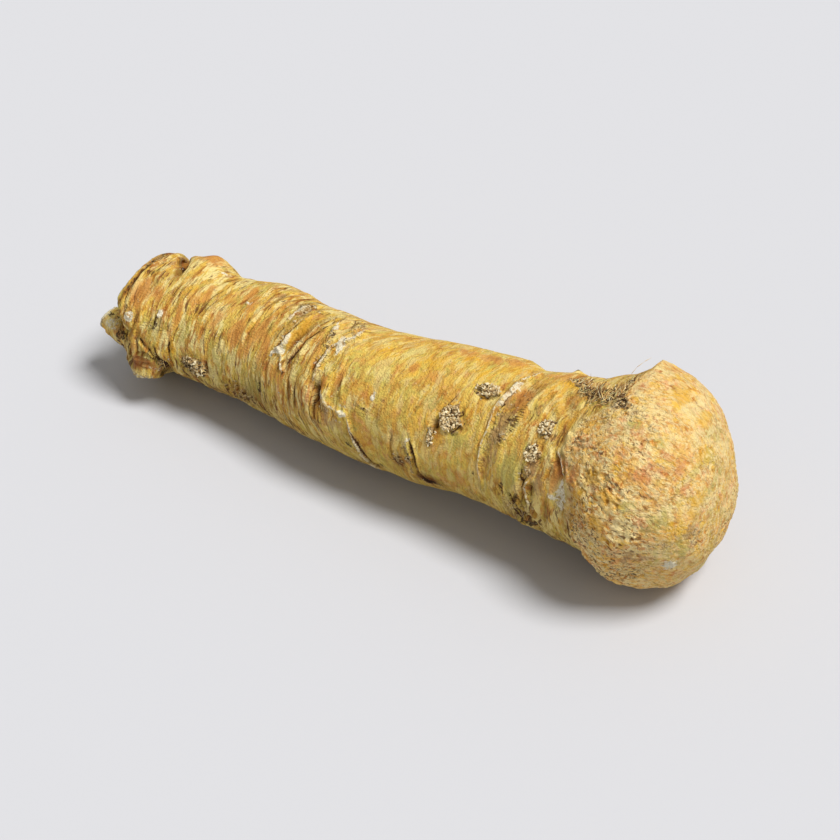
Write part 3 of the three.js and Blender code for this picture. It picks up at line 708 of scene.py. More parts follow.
def add_crown(skin):
    """The corky face of the crown: a raised edge, lumps, fibres and pits, roughest at its lower left."""
    beyond = skin.wobbly[:, 0] - crown_rim(skin.angle)
    crown = smooth_step(beyond, -0.4, 0.9)
    edge = bell(beyond, 0.9, 1.1)
    behind = bell(beyond, -1.6, 1.5)
    edge_strength = np.clip(0.8 + 0.6 * skin.noise(7, 51), 0.15, 1.3)
    edge_strength *= 1 - 0.8 * bell(turned(skin.angle, TUFT_ANGLE), 0, 24)
    skin.height += edge_strength * (0.6 * edge + 0.25 * crown - 0.7 * behind)
    skin.tint("crown", crown)
    # The crown's raised edge is paler: partly its own colour, partly painted highlight
    skin.tint("worn_and_highlight", edge * np.clip(0.6 + skin.noise(5, 52), 0, 1))
    # Painted shade in the hollow behind the crown's raised edge
    skin.tint("painted_shade", 0.7 * behind * edge_strength)

    left = smooth_step(np.abs(turned(skin.angle, ROUGH_SIDE)), 110, 35) * smooth_step(skin.x, 99, 80)
    hidden = smooth_step(np.abs(turned(skin.angle, 45)), 90, 150)
    rough = crown * (0.35 + 0.65 * left + 0.3 * hidden) * np.clip(0.9 + 0.5 * skin.noise(9, 53), 0.3, 1.3)
    strokes = skin.fibre_noise(2.6, 1.1, 54)
    crumbs = 1 - 2 * np.abs(skin.noise(2.4, 55))
    pits = smooth_step(skin.fibre_noise(2.4, 1.5, 56), 0.4, 0.75)
    grit = skin.noise(0.95, 57)
    relief = rough * (0.42 * strokes + 0.25 * crumbs - 0.7 * pits + 0.2 * grit)
    skin.height += 0.5 * crown * skin.noise(6.5, 58) + relief
    skin.tint("rough", rough)
    skin.tint("arcs", crown * smooth_step(skin.x, 88, 98))
    # Painted shade in the crown's pits and painted highlight on its crests
    skin.tint("painted_shade", crown * smooth_step(-relief, 0.2, 0.9))
    skin.tint("worn_and_highlight", crown * smooth_step(relief, 0.2, 0.8))


def nearest_on_path(points, path):
    """How far each point is from a path, how far along it its nearest place is, from 0 to 1, and its side."""
    distance = np.full(len(points), np.inf)
    part = np.zeros(len(points))
    side = np.ones(len(points))
    steps = len(path) - 1
    for i in range(steps):
        leg = path[i + 1] - path[i]
        along = np.clip((points - path[i]) @ leg / (leg @ leg), 0, 1)
        away = points - path[i] - along[:, None] * leg
        length = np.linalg.norm(away, axis=1)
        closer = length < distance
        distance[closer] = length[closer]
        part[closer] = (i + along[closer]) / steps
        side[closer] = np.where(away[closer, 0] < 0, -1, 1)
    return distance, part, side


def path_on_skin(tree, places):
    """Points of the skin along places, no further apart than LINE_STEPS."""
    path = []
    for start, end in zip(places, places[1:]):
        steps = max(2, *(math.ceil(abs(end[j] - start[j]) / LINE_STEPS[j]) for j in (0, 1)))
        for i in range(steps):
            between = [start[j] + (end[j] - start[j]) * i / steps for j in (0, 1)]
            path.append(skin_place(tree, *between)[0])
    path.append(skin_place(tree, *places[-1])[0])
    return np.array(path)


def mark_line(skin, shade, near, strength, distance, side):
    """Keeps how strong a thin line is, and how far away it is in its own widths and on which side."""
    skin.tint(shade + "_line", smooth_step(strength, 0.05, 0.7) * smooth_step(distance, 1.8, 1.0), near)
    scaled = distance / np.clip(strength, 0.25, 1.6)
    nearer = (scaled < np.abs(skin.sides[shade][near])) & (strength > 0.05)
    skin.sides[shade][near[nearer]] = (side * scaled)[nearer]


def add_line(skin, kind, strength, places):
    """One crack, crease, fold or ridge along the skin, uneven and thinner towards its ends."""
    reach = 5 * kind.half_width
    path = path_on_skin(skin.tree, places)
    low, high = path.min(axis=0) - reach, path.max(axis=0) + reach
    near = np.nonzero(np.all((skin.points > low) & (skin.points < high), axis=1))[0]
    distance, part, side = nearest_on_path(skin.wobbly[near] * 0.35 + skin.points[near] * 0.65, path)
    uneven = np.clip(0.95 + 0.45 * gradient_noise(skin.points[near] / 3.1, 61), 0.45, 1.4)
    taper = smooth_step(np.minimum(part, 1 - part), 0, 0.2)
    size = strength * uneven * (0.25 + 0.75 * taper)
    core = bell(distance, 0, kind.half_width) * size
    lip = bell(distance, 2.1 * kind.half_width, 0.8 * kind.half_width) * size
    grit = gradient_noise(skin.points[near] / 0.95, 62)
    skin.height[near] += kind.height * core + kind.lip * lip + kind.grit * grit * (core + 0.5 * lip)
    # A dark thin line, partly the line's own colour and partly painted shade in its groove, and a pale one
    for shade, depth in (("dark", kind.dark), ("pale", kind.pale)):
        mark_line(skin, shade, near, depth * size, distance, side)
    skin.tint("cork", np.maximum(kind.cork * core, 0.5 * kind.cork * lip), near)
    # Paler lips: partly their own colour, partly painted highlight
    skin.tint("pale", kind.edge * lip, near)
    # Painted shade in the bed of a sunken line, stronger where the line sinks further
    skin.tint("painted_shade", np.clip(-0.55 * kind.height * core, 0, 0.9), near)


def unseen_lines():
    """Lines at random places of the sides turned away, each along part of a ring of the skin."""
    chance = np.random.default_rng(SEEDS["lines"])
    first, last = UNSEEN_ANGLES
    for _ in range(UNSEEN_LINES):
        kind = UNSEEN_KINDS[chance.integers(len(UNSEEN_KINDS))]
        bends = chance.integers(2, 6)
        x, angle = chance.uniform(*UNSEEN_X), chance.uniform(first, last - UNSEEN_TURN * bends)
        places = []
        for _ in range(bends + 1):
            places.append((x - ring_bow(x) * math.cos(math.radians(angle - FRONT)), angle))
            x += chance.normal() * 0.5
            angle += UNSEEN_TURN
        yield kind, chance.uniform(0.5, 1.1), places


def unseen_stains():
    """Stains at random places of the sides turned away."""
    chance = np.random.default_rng(SEEDS["stains"])
    for _ in range(UNSEEN_STAINS):
        tint = UNSEEN_TINTS[chance.integers(len(UNSEEN_TINTS))]
        place = (chance.uniform(*UNSEEN_X), chance.uniform(*UNSEEN_ANGLES))
        small = chance.uniform(0.8, 3.0)
        yield tint, (chance.uniform(0.6, 1.1), *place, small, small * chance.uniform(0.9, 2.4))


def add_stain(skin, tint, strength, x, angle, along, around):
    """A patch of the skin with a tint of its own, strongest in its middle."""
    amount = strength * (1 - smooth_step(skin.oval_distance(x, angle, along, around), 0.3, 1.6))
    skin.tint(tint, amount)
    if tint == "pale":
        skin.height += amount * (0.2 + 0.5 * skin.noise(0.95, 75))


def add_scar(skin, scar):
    """A rough corky knob in a shallow moat, with painted shade in the moat and in the knob's low pits."""
    radius = skin.oval_distance(scar.x, scar.angle, scar.along, scar.around)
    knob = 1 - smooth_step(radius + 0.25 * skin.noise(1.6, 75), 0.7, 1.2)
    moat = bell(radius, 1.15, 0.2) * smooth_step(skin.noise(3, 74), -0.4, 0.5)
    grit = skin.noise(0.9, 71) + 0.6 * skin.noise(1.7, 72)
    skin.height += scar.height * (knob * (0.6 + 0.45 * grit) - 0.5 * moat)
    skin.tint("cork", 1.2 * knob)
    # Painted shade in the moat and in the knob's low pits
    skin.tint("dark", np.maximum(0.5 * moat, 0.7 * knob * smooth_step(-grit, 0.4, 0.9)))


def add_tuft_bed(skin, tuft):
    """The rough matted skin that a tuft of bristles grows from, with painted shade in its hollows."""
    bed = 1 - smooth_step(skin.oval_distance(tuft.x, tuft.angle, tuft.along, tuft.around), 0.5, 1.3)
    grit = skin.noise(1.1, 73)
    skin.height += 0.45 * bed * grit
    skin.tint("cork", bed)
    # Painted shade in the bed's hollows, between the bristles
    skin.tint("dark", 1.1 * bed * smooth_step(-grit, -0.1, 0.4))


def flat_cut(mesh):
    """The middle and the outward normal of the flat face across the thin end."""
    faces = [face for face in mesh.polygons if face.normal.x < CUT_NORMAL_X and face.center.x < CUT_BEFORE_X]
    area = sum(face.area for face in faces)
    normal = sum((face.normal * face.area for face in faces), Vector()).normalized()
    middle = sum((face.center * face.area for face in faces), Vector()) / area
    return np.array(middle), np.array(normal)


def add_cut_end(skin, middle, normal):
    """The cut across the thin end: pale flesh with rings and knife marks, and just behind it a band of skin
    darkened by painted shade and a dark tint.
    """
    depth = (skin.points - middle) @ normal
    cut = smooth_step(depth, -1.4, -0.8) * smooth_step(skin.normals @ normal, 0.25, 0.55)
    away = np.linalg.norm(skin.wobbly - middle, axis=1)
    knife = gradient_noise(skin.points / (2.0, 0.9, 7.0), 81)
    skin.height *= 1 - 0.75 * cut
    skin.height += cut * (0.16 * knife + 0.2 * skin.noise(3, 82) + 0.12 * skin.noise(0.9, 83))
    for tint in skin.tints.values():
        tint *= 1 - 0.9 * cut
    for radius, rise, width in CUT_RINGS:
        ring = cut * bell(away, radius, width)
        skin.height += rise * ring
        skin.tint("flesh_ring", ring)
    skin.tint("cut", cut)
    # A band of skin just behind the cut, darker with painted shade and the dark tint
    band_behind_cut = bell(depth, -1.9, 0.6) * smooth_step(skin.x, -84, -88)
    skin.tint("painted_shade", band_behind_cut)
    skin.tint("dark", 0.6 * band_behind_cut)
    skin.tint("dark", 3.4 * cut * (1 - cut))


def add_relief(skin, mesh):
    """All of the relief and the tints, from the broad to the fine."""
    middle, normal = flat_cut(mesh)
    add_crown(skin)
    add_lumps(skin)
    add_wrinkles(skin)
    for kind, lines in LINES.items():
        for strength, *places in lines:
            add_line(skin, LINE_KINDS[kind], strength, places)
    for kind, strength, places in unseen_lines():
        add_line(skin, LINE_KINDS[kind], strength, places)
    for tint, stains in STAINS.items():
        for stain in stains:
            add_stain(skin, tint, *stain)
    for tint, stain in unseen_stains():
        add_stain(skin, tint, *stain)
    for scar in SCARS:
        add_scar(skin, scar)
    for tuft in TUFTS:
        add_tuft_bed(skin, tuft)
    add_cut_end(skin, middle, normal)


# Building the mesh


def add_object(name, data):
    """A new object in the scene."""
    item = bpy.data.objects.new(name, data)
    bpy.context.scene.collection.objects.link(item)
    return item


def applied(piece):
    """A mesh of a piece with its modifiers carried out."""
    graph = bpy.context.evaluated_depsgraph_get()
    return bpy.data.meshes.new_from_object(piece.evaluated_get(graph))


def set_points(mesh, points):
    """Moves the vertices of a mesh."""
    mesh.vertices.foreach_set("co", points.astype(np.float32).ravel())


def fine_mesh(node):
    """The CAD root in mm as a fine even mesh with its facets smoothed away."""
    mesh = node.data.copy()
    mesh.materials.clear()
    mesh.transform(Matrix.Scale(1 / MM, 4))
    piece = add_object("fine", mesh)
    remesh = piece.modifiers.new("even", "REMESH")
    remesh.mode = "VOXEL"
    remesh.voxel_size = FINE_STEP
    fine = applied(piece)
    bpy.data.objects.remove(piece)
    smooth(fine)
    return fine


def smooth(mesh):
    """Draws each point towards its neighbours, less so at the cut end, where the shape is sharper."""
    points = read_vectors(mesh.vertices, "co")
    ends = np.empty(len(mesh.edges) * 2, dtype=np.int32)
    mesh.edges.foreach_get("vertices", ends)
    here, there = np.concatenate([ends[0::2], ends[1::2]]), np.concatenate([ends[1::2], ends[0::2]])
    neighbours = np.bincount(here, minlength=len(points))
    change = smooth_step(points[:, 0], *SMOOTHING_CHANGE)
    share = SMOOTHING["cut_end"] + (SMOOTHING["shaft"] - SMOOTHING["cut_end"]) * change
    for _ in range(SMOOTHING_ROUNDS):
        mean = [np.bincount(here, points[there, axis], len(points)) / neighbours for axis in range(3)]
        points += share[:, None] * (np.stack(mean, axis=1) - points)
    set_points(mesh, points)
    mesh.update()


def store(mesh, name, values, kind="FLOAT"):
    """Keeps a number or a vector for each vertex of a mesh."""
    layer = mesh.attributes.new(name, kind, "POINT")
    field = "value" if kind == "FLOAT" else "vector"
    layer.data.foreach_set(field, values.astype(np.float32).ravel())


def lighter_mesh(mesh, name):
    """A piece with the mesh, with no more than MOST_TRIANGLES triangles."""
    mesh.calc_loop_triangles()
    piece = add_object(name, mesh)
    decimate = piece.modifiers.new("lighter", "DECIMATE")
    decimate.ratio = min(1, MOST_TRIANGLES / len(mesh.loop_triangles))
    decimate.use_collapse_triangulate = True
    piece.data = applied(piece)
    piece.modifiers.clear()
    return piece


def root_skin():
    """The skin of the whole root, in mm, with its relief and its tints."""
    mesh = fine_mesh(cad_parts[NODE])
    skin = Skin(mesh)
    add_relief(skin, mesh)
    shaped = skin.points + skin.normals * skin.height[:, None]
    shaped[:, 2] = np.maximum(shaped[:, 2], 0)
    set_points(mesh, shaped)
    for name, vectors in (("ring", skin.ring), ("place", skin.points), ("fibres", skin.fibres)):
        store(mesh, name, vectors, "FLOAT_VECTOR")
    for shade, side in skin.sides.items():
        store(mesh, shade + "_side", side)
    for name, values in skin.tints.items():
        store(mesh, name, values)
    return lighter_mesh(mesh, "root_skin")


# Crumbs, bristles and hairs


class SmallBodies:
    """Many small bodies that make up one piece, each with a shade of its own."""

    def __init__(self):
        self.points, self.polygons, self.shades = [], [], []

    def add(self, corners, faces, shade):
        """Adds one body."""
        first = len(self.points)
        self.points += [tuple(corner) for corner in corners]
        self.polygons += [[first + corner for corner in face] for face in faces]
        self.shades += [shade] * len(corners)

    def piece(self, name):
        """The piece that all the bodies make."""
        mesh = bpy.data.meshes.new(name)
        mesh.from_pydata(self.points, [], self.polygons)
        store(mesh, "shade", np.array(self.shades))
        return add_object(name, mesh)


def random_place(chance, tree, x, angle, along, around):
    """A random point of the skin inside an oval, and its normal."""
    distance, way = math.sqrt(chance.random()), chance.random() * math.tau
    middle, _, along_way, round_way = skin_axes(tree, x, angle)
    along_step = along_way * (along * distance * math.cos(way))
    round_step = round_way * (around * distance * math.sin(way))
    point, normal, _, _ = tree.find_nearest(middle + along_step + round_step)
    return point, normal


def crumb_shape():
    """The corners and faces of a plain lump with 20 faces, of radius 1."""
    golden = (1 + math.sqrt(5)) / 2
    corners = []
    for a in (-1, 1):
        for b in (-golden, golden):
            corners += [(0, a, b), (a, b, 0), (b, 0, a)]
    corners = np.array(corners) / math.hypot(1, golden)
    faces = []
    for i, j, k in combinations(range(len(corners)), 3):
        first, second, third = corners[[i, j, k]]
        sides = (first - second, second - third, third - first)
        if max(np.linalg.norm(side) for side in sides) < CRUMB_SIDE:
            outward = np.cross(second - first, third - first) @ first > 0
            faces.append((i, j, k) if outward else (i, k, j))
    return corners, faces


def corky_crumbs(tree):
    """The crumbs of cork on all the scars, as one piece."""
    chance = np.random.default_rng(SEEDS["crumbs"])
    corners, faces = crumb_shape()
    crumbs = SmallBodies()
    for scar in SCARS:
        along, around = scar.along * CRUMB_SPREAD, scar.around * CRUMB_SPREAD
        for _ in range(scar.crumbs):
            place, normal = random_place(chance, tree, scar.x, scar.angle, along, around)
            sizes = chance.uniform(*CRUMB_RADIUS) * chance.uniform(*CRUMB_STRETCH)
            turn = np.linalg.qr(chance.normal(size=(3, 3)))[0]
            lump = (corners * chance.uniform(*CRUMB_DENTS, (len(corners), 1)) * sizes) @ turn
            crumbs.add(lump + np.array(place + normal * CRUMB_LIFT), faces, chance.random())
    return crumbs.piece("corky_crumbs")


def bristle(start, aim, bend, length, radius, steps=5, sides=4):
    """The corners and faces of a tapered bristle that curves from aim towards bend."""
    side = aim.cross(Vector((0.3, 0.5, 0.8))).normalized()
    other = aim.cross(side).normalized()
    corners, faces = [], []
    place = start.copy()
    for i in range(steps + 1):
        part = i / steps
        width = radius * (1 - BRISTLE_TAPER * part)
        for j in range(sides):
            turn = math.tau * j / sides
            corners.append(place + (side * math.cos(turn) + other * math.sin(turn)) * width)
        place = place + (aim * (1 - part) + bend * part).normalized() * (length / steps)
    for i in range(steps):
        for j in range(sides):
            k = (j + 1) % sides
            faces.append((i * sides + j, i * sides + k, (i + 1) * sides + k, (i + 1) * sides + j))
    faces.append(tuple(range(steps * sides, (steps + 1) * sides)))
    return corners, faces


def tuft_bristles(tree):
    """The bristles of all the tufts, as one piece."""
    chance = np.random.default_rng(SEEDS["bristles"])
    bristles = SmallBodies()
    for tuft in TUFTS:
        for _ in range(tuft.count):
            place, normal = random_place(chance, tree, tuft.x, tuft.angle, tuft.along, tuft.around)
            flat = Vector(chance.normal(size=3)) + Vector(TUFT_LEAN)
            flat = (flat - normal * flat.dot(normal)).normalized()
            aim = (normal * chance.uniform(0.1, 0.8) + flat).normalized()
            bend = (flat + Vector(chance.normal(size=3)) * 0.5 - normal * 0.3).normalized()
            length = tuft.length * chance.uniform(*BRISTLE_LENGTHS)
            radius = chance.uniform(*BRISTLE_RADIUS)
            body = bristle(place - normal * BRISTLE_DEPTH, aim, bend, length, radius)
            bristles.add(*body, chance.random())
    return bristles.piece("tuft_bristles")


def root_hairs(tree):
    """The few single hairs, as one piece."""
    hairs = SmallBodies()
    for place, bends in HAIRS:
        root, normal = skin_place(tree, *place)
        path = [root - normal * HAIR_DEPTH + Vector(bend) for bend in bends]
        for start, end in zip(path, path[1:]):
            aim = (end - start).normalized()
            body = bristle(start, aim, aim, (end - start).length, HAIR_RADIUS, steps=1, sides=5)
            hairs.add(*body, 0.5)
    return hairs.piece("root_hairs")


# Materials


class Graph:
    """A short way to write a material's nodes."""

    def __init__(self, name):
        self.material = bpy.data.materials.new(name)
        self.material.use_nodes = True
        self.tree = self.material.node_tree

    def node(self, kind, inputs, output, **settings):
        """An output of a new node with these inputs and settings."""
        node = self.tree.nodes.new("ShaderNode" + kind)
        for name, value in settings.items():
            setattr(node, name, value)
        self.feed(node, inputs)
        return node.outputs[output]

    def feed(self, node, inputs):
        """Sets a node's inputs, by number or name, to numbers, colours or other nodes' outputs."""
        for key, value in inputs.items():
            if isinstance(value, bpy.types.NodeSocket):
                self.tree.links.new(value, node.inputs[key])
            else:
                node.inputs[key].default_value = linear(value) if isinstance(value, str) else value

    def finished(self, inputs):
        """The material, once its shader has its inputs."""
        self.feed(self.tree.nodes["Principled BSDF"], inputs)
        return self.material

    def number(self, name):
        """A number kept at each vertex."""
        return self.node("Attribute", {}, "Fac", attribute_name=name)

    def vector(self, name):
        """A vector kept at each vertex."""
        return self.node("Attribute", {}, "Vector", attribute_name=name)

    def noise(self, vector, sizes, detail=2.0, roughness=0.5, shift=0.0):
        """Noise from 0 to 1, with lumps of one size in mm, or of a size for each axis."""
        inputs = {0: vector, 1: 1 / np.broadcast_to(sizes, 3), 2: (shift, shift, shift)}
        place = self.node("VectorMath", inputs, 0, operation="MULTIPLY_ADD")
        inputs = {"Vector": place, "Scale": 1.0, "Detail": detail, "Roughness": roughness}
        return self.node("TexNoise", inputs, "Fac")

    def step(self, value, low, high, top=1.0, bottom=0.0):
        """bottom below low, top above high, and a smooth change between them."""
        inputs = {"Value": value, "From Min": low, "From Max": high, "To Min": bottom, "To Max": top}
        return self.node("MapRange", inputs, 0, interpolation_type="SMOOTHSTEP")

    def sum(self, value, factor, other):
        """value times factor, plus other."""
        return self.node("Math", {0: value, 1: factor, 2: other}, 0, operation="MULTIPLY_ADD")

    def product(self, value, other):
        """value times other."""
        return self.node("Math", {0: value, 1: other}, 0, operation="MULTIPLY")

    def hairline(self, value, level, width):
        """1 where value is at level, falling to 0 at width from it."""
        away = self.node("Math", {0: value, 1: level}, 0, operation="SUBTRACT")
        size = self.node("Math", {0: away}, 0, operation="ABSOLUTE")
        return self.step(size, 0.25 * width, width, 0.0, 1.0)

    def blend(self, amount, below, above, how="MIX"):
        """The colour above laid over the colour below by amount, or darkening it if how is MULTIPLY."""
        return self.node("Mix", {0: amount, 6: below, 7: above}, 2, data_type="RGBA", blend_type=how)

    def between(self, amount, below, above):
        """A number from below to above, by amount."""
        return self.node("Mix", {0: amount, 2: below, 3: above}, 0)

    def bump(self, height, distance, below=None):
        """A normal that follows a height, whose full range is distance in metres, on a normal below it."""
        inputs = {"Height": height, "Distance": distance, "Strength": 1.0}
        if below is not None:
            inputs["Normal"] = below
        return self.node("Bump", inputs, 0)

    def layered(self, spaces, weights, colour, layers):
        """A colour with layers over it. weights says how strong each layer's where is."""
        for layer in layers:
            sizes = (layer.along, layer.across, layer.across)
            area = self.noise(spaces[layer.space], sizes, layer.detail, layer.roughness, layer.shift)
            if layer.under:
                area = self.sum(self.number("under"), layer.under, area)
            amount = self.step(area, layer.low, layer.high, layer.most)
            if layer.where:
                amount = self.product(amount, self.sum(weights[layer.where], layer.share, layer.rest))
            colour = self.blend(amount, colour, layer.colour, layer.how)
        return colour


def shaft_colour(graph, spaces):
    """The skin of the shaft: straw, gold and leaf green, with cream and brown streaks in its wrinkles."""
    broad = graph.noise(spaces["place"], 12, detail=5, roughness=0.6)
    colour = graph.blend(graph.step(broad, 0.4, 0.6), TAN, STRAW)
    streaky = graph.sum(graph.step(graph.number("wrinkled"), 0.2, 0.85), 0.75, 0.25)
    return graph.layered(spaces, {"streaky": streaky}, colour, SHAFT_LAYERS)


def crown_colour(graph, spaces):
    """The corky face of the crown: soft blotches, with short pale and brown fibres where it is rough."""
    broad = graph.noise(spaces["place"], 10, detail=4)
    colour = graph.blend(graph.step(broad, 0.4, 0.6), CROWN_TAN, CROWN_CREAM)
    weights = {"rough": graph.step(graph.number("rough"), 0.1, 0.9), "arcs": graph.number("arcs")}
    return graph.layered(spaces, weights, colour, CROWN_LAYERS)


def cut_colour(graph, place):
    """Cut flesh: cream, a little darker in rings and blotches."""
    blotches = graph.noise(place, 5, detail=4, shift=3)
    fibres = graph.noise(place, (0.8, 0.5, 4), detail=2, shift=6)
    colour = graph.blend(graph.step(blotches, 0.45, 0.7, 0.5), FLESH, FLESH_RING)
    colour = graph.blend(graph.product(graph.number("flesh_ring"), 0.8), colour, FLESH_RING)
    return graph.blend(graph.step(fibres, 0.55, 0.7, 0.4), colour, STRAW)


def cork_colour(graph, cells):
    """Cork: a beige network of small ridges, with cream crests and dark brown pits."""
    colour = graph.blend(graph.step(cells, 0.36, 0.48), UMBER, CORK)
    return graph.blend(graph.hairline(cells, 0.52, 0.06), colour, CORK_CREAM)


def tint_amount(graph, name, noise, top, edge=(0.66, 0.8)):
    """Where one of the tints kept at the vertices shows: patchy and with a ragged edge."""
    area = graph.sum(graph.number(name), 0.34, noise)
    return graph.step(area, *edge, top)


def line_amount(graph, place, shade, width):
    """Where the thin lines of a shade are: width mm to each side of them, and a little ragged."""
    ragged = graph.noise(place, 0.9, detail=4, roughness=0.65, shift=83)
    away = graph.sum(ragged, 1.2, graph.sum(graph.number(shade + "_side"), 1.0, -0.6))
    return graph.product(graph.hairline(away, 0.0, width), graph.number(shade + "_line"))


def skin_colour(graph, spaces, crown, cells):
    """The colour of the whole skin, from the ground up: shaft and crown, stains, scars, lines and cut end."""
    ring, place, fibres = spaces["ring"], spaces["place"], spaces["fibres"]
    shaft_streaks = graph.noise(ring, (1.5, 5, 5), detail=5, roughness=0.65, shift=51)
    crown_streaks = graph.noise(fibres, (3, 1.5, 1.5), detail=5, roughness=0.65, shift=53)
    noises = {
        "streaks": graph.between(crown, shaft_streaks, crown_streaks),
        "fine_streaks": graph.noise(ring, (0.9, 4, 4), detail=4, roughness=0.65, shift=55),
    }
    even = graph.noise(place, 1.3, detail=4, roughness=0.65, shift=57)
    nicks = graph.noise(place, (4.0, 0.6, 0.6), detail=1, shift=93)
    crumbly = graph.step(even, 0.38, 0.52)
    pale = graph.blend(graph.step(cells, 0.34, 0.46), CORK, WHITE)

    colour = graph.blend(crown, shaft_colour(graph, spaces), crown_colour(graph, spaces))
    for look in TINT_LOOKS:
        amount = tint_amount(graph, look.tint, noises[look.noise], look.most, (look.low, look.high))
        colour = graph.blend(amount, colour, look.colour)
    # Cream where the skin is paler: partly pale patches of its own, partly painted highlight on raised relief
    colour = graph.blend(graph.product(graph.number("worn_and_highlight"), 0.45), colour, CREAM)
    # Painted shade in the hollows, weaker on the crown
    painted_shade = graph.product(graph.number("painted_shade"), graph.sum(crown, -0.45, 0.85))
    colour = graph.blend(painted_shade, colour, PAINTED_SHADE_BROWN, "MULTIPLY")
    colour = graph.blend(tint_amount(graph, "cork", even, 0.9), colour, cork_colour(graph, cells))
    nicked = graph.product(graph.step(graph.number("nicks"), 0.2, 0.8), graph.step(nicks, 0.5, 0.58, 0.8))
    colour = graph.blend(nicked, colour, LINE_BROWN)
    # The dark tint: partly dark marks of the skin, partly painted shade in scar moats, tuft beds, the cleft's
    # wall and the band behind the cut
    colour = graph.blend(tint_amount(graph, "dark", even, 0.9), colour, UMBER)
    colour = graph.blend(tint_amount(graph, "pale", even, 0.95), colour, pale)
    colour = graph.blend(graph.product(line_amount(graph, place, "pale", 0.8), crumbly), colour, PALE_LINE)
    # The dark thin lines: partly their own colour, partly painted shade in their grooves
    colour = graph.blend(line_amount(graph, place, "dark", 0.5), colour, LINE_BROWN)
    colour = graph.blend(graph.number("cut"), colour, cut_colour(graph, place))
    # A darker, greyer underside: partly its own colour, partly painted shade
    return graph.blend(graph.product(graph.number("under"), 0.7), colour, UNDERSIDE_COLOUR_AND_SHADE, "MULTIPLY")


def skin_normal(graph, spaces, crown, cells):
    """The finest relief: lines round the shaft, short fibres on the crown, grain, and cells on the cork."""
    lines = graph.noise(spaces["ring"], (0.8, 6, 6), detail=4, roughness=0.6, shift=71)
    fibres = graph.noise(spaces["fibres"], (1.7, 0.75, 0.75), detail=4, roughness=0.6, shift=73)
    grain = graph.noise(spaces["place"], 0.6, detail=4, shift=77)
    normal = graph.bump(graph.between(crown, lines, graph.product(fibres, 1.3)), 0.0006)
    normal = graph.bump(grain, 0.0006, normal)
    return graph.bump(graph.product(cells, graph.number("cork")), 0.0025, normal)


def skin_material():
    """The whole skin."""
    graph = Graph("horseradish_skin")
    spaces = {name: graph.vector(name) for name in ("ring", "place", "fibres")}
    crown = graph.number("crown")
    cells = graph.noise(spaces["place"], 1.3, detail=2, shift=59)
    satin = graph.noise(spaces["place"], 7, detail=3, shift=61)
    inputs = {
        "Base Color": skin_colour(graph, spaces, crown, cells),
        "Roughness": graph.sum(graph.step(satin, 0.2, 0.8), 0.22, 0.56),
        "Specular IOR Level": 0.18,
        "Normal": skin_normal(graph, spaces, crown, cells),
    }
    return graph.finished(inputs)


def small_material(name, look):
    """Crumbs or bristles, each of a colour by its own shade, with small dark marks."""
    graph = Graph(name)
    shade = graph.number("shade")
    colour = look.colour
    for above, low, high in look.others:
        colour = graph.blend(graph.step(shade, low, high), colour, above)
    marks = graph.noise(graph.node("TexCoord", {}, "Object"), look.size * MM, detail=look.detail)
    colour = graph.blend(graph.step(marks, *look.marks), colour, BARK)
    return graph.finished({"Base Color": colour, **look.shader})


def floor_material():
    """Plain pale matt floor."""
    inputs = {"Base Color": FLOOR_COLOUR, "Roughness": 0.9, "Specular IOR Level": 0.2}
    return Graph("pale_floor").finished(inputs)


# Stage


def add_floor():
    """The floor that the root lies on."""
    half = FLOOR_SIZE / 2
    mesh = bpy.data.meshes.new("floor")
    corners = [(-half, -half, 0), (half, -half, 0), (half, half, 0), (-half, half, 0)]
    mesh.from_pydata(corners, [], [(0, 1, 2, 3)])
    mesh.materials.append(floor_material())
    add_object("floor", mesh)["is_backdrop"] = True


def aim_at(item, place, target):
    """Puts a camera or lamp at a place, looking at a target."""
    item.location = place
    item.rotation_euler = (Vector(target) - Vector(place)).to_track_quat("-Z", "Y").to_euler()


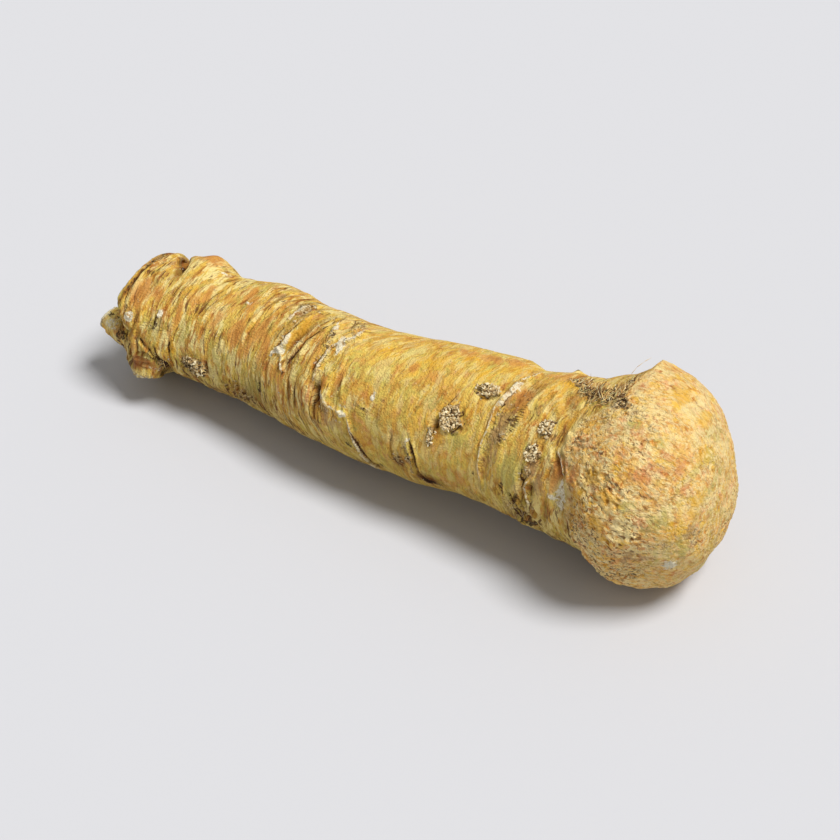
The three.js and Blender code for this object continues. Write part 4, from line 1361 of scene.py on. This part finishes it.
def add_camera():
    """The camera, from its azimuth, elevation and distance."""
    data = bpy.data.cameras.new("camera")
    data.lens = CAMERA["lens"]
    data.clip_start = 0.01
    camera = add_object("camera", data)
    turn, rise = math.radians(CAMERA["azimuth"]), math.radians(CAMERA["elevation"])
    back = Vector((math.sin(turn) * math.cos(rise), -math.cos(turn) * math.cos(rise), math.sin(rise)))
    target = Vector(CAMERA_TARGET)
    aim_at(camera, target + back * CAMERA["distance"], target)
    bpy.context.scene.camera = camera


def add_key_light():
    """The soft main light, which is equally strong everywhere."""
    data = bpy.data.lights.new("key", "SUN")
    data.angle = math.radians(KEY_LIGHT["softness"])
    data.energy = KEY_LIGHT["strength"]
    aim_at(add_object("key", data), KEY_LIGHT["from"], (0, 0, 0))


def add_world():
    """Even pale light from all round."""
    world = bpy.data.worlds.new("studio")
    world.use_nodes = True
    background = world.node_tree.nodes["Background"]
    background.inputs["Color"].default_value = (1, 1, 1, 1)
    background.inputs["Strength"].default_value = WORLD_STRENGTH
    bpy.context.scene.world = world


def finish_piece(piece, material, rounded=True):
    """Takes a piece from mm to metres, gives it its material and ties it to the root."""
    piece.data.transform(Matrix.Scale(MM, 4))
    if rounded:
        piece.data.shade_smooth()
    piece.data.materials.clear()
    piece.data.materials.append(material)
    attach(piece, "root")


def build():
    """The root's pieces, the stage, the lights and the camera."""
    skin = root_skin()
    tree = search_tree(skin.data)
    crumbs = corky_crumbs(tree)
    bristles = tuft_bristles(tree)
    hairs = root_hairs(tree)
    finish_piece(skin, skin_material())
    finish_piece(crumbs, small_material("cork_crumbs", CRUMB_LOOK), rounded=False)
    dry_bristles = small_material("dry_bristles", BRISTLE_LOOK)
    finish_piece(bristles, dry_bristles)
    finish_piece(hairs, dry_bristles)
    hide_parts(NODE)
    add_floor()
    add_key_light()
    add_world()
    add_camera()
    bpy.context.scene.view_settings.view_transform = "Standard"


def write_sizes():
    """Works out the CAD model's box and the visual model's box."""
    boxes = {"cad": cad_box, "visual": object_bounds()}
    {name: [list(corner) for corner in box] for name, box in boxes.items()}


build()
write_sizes()
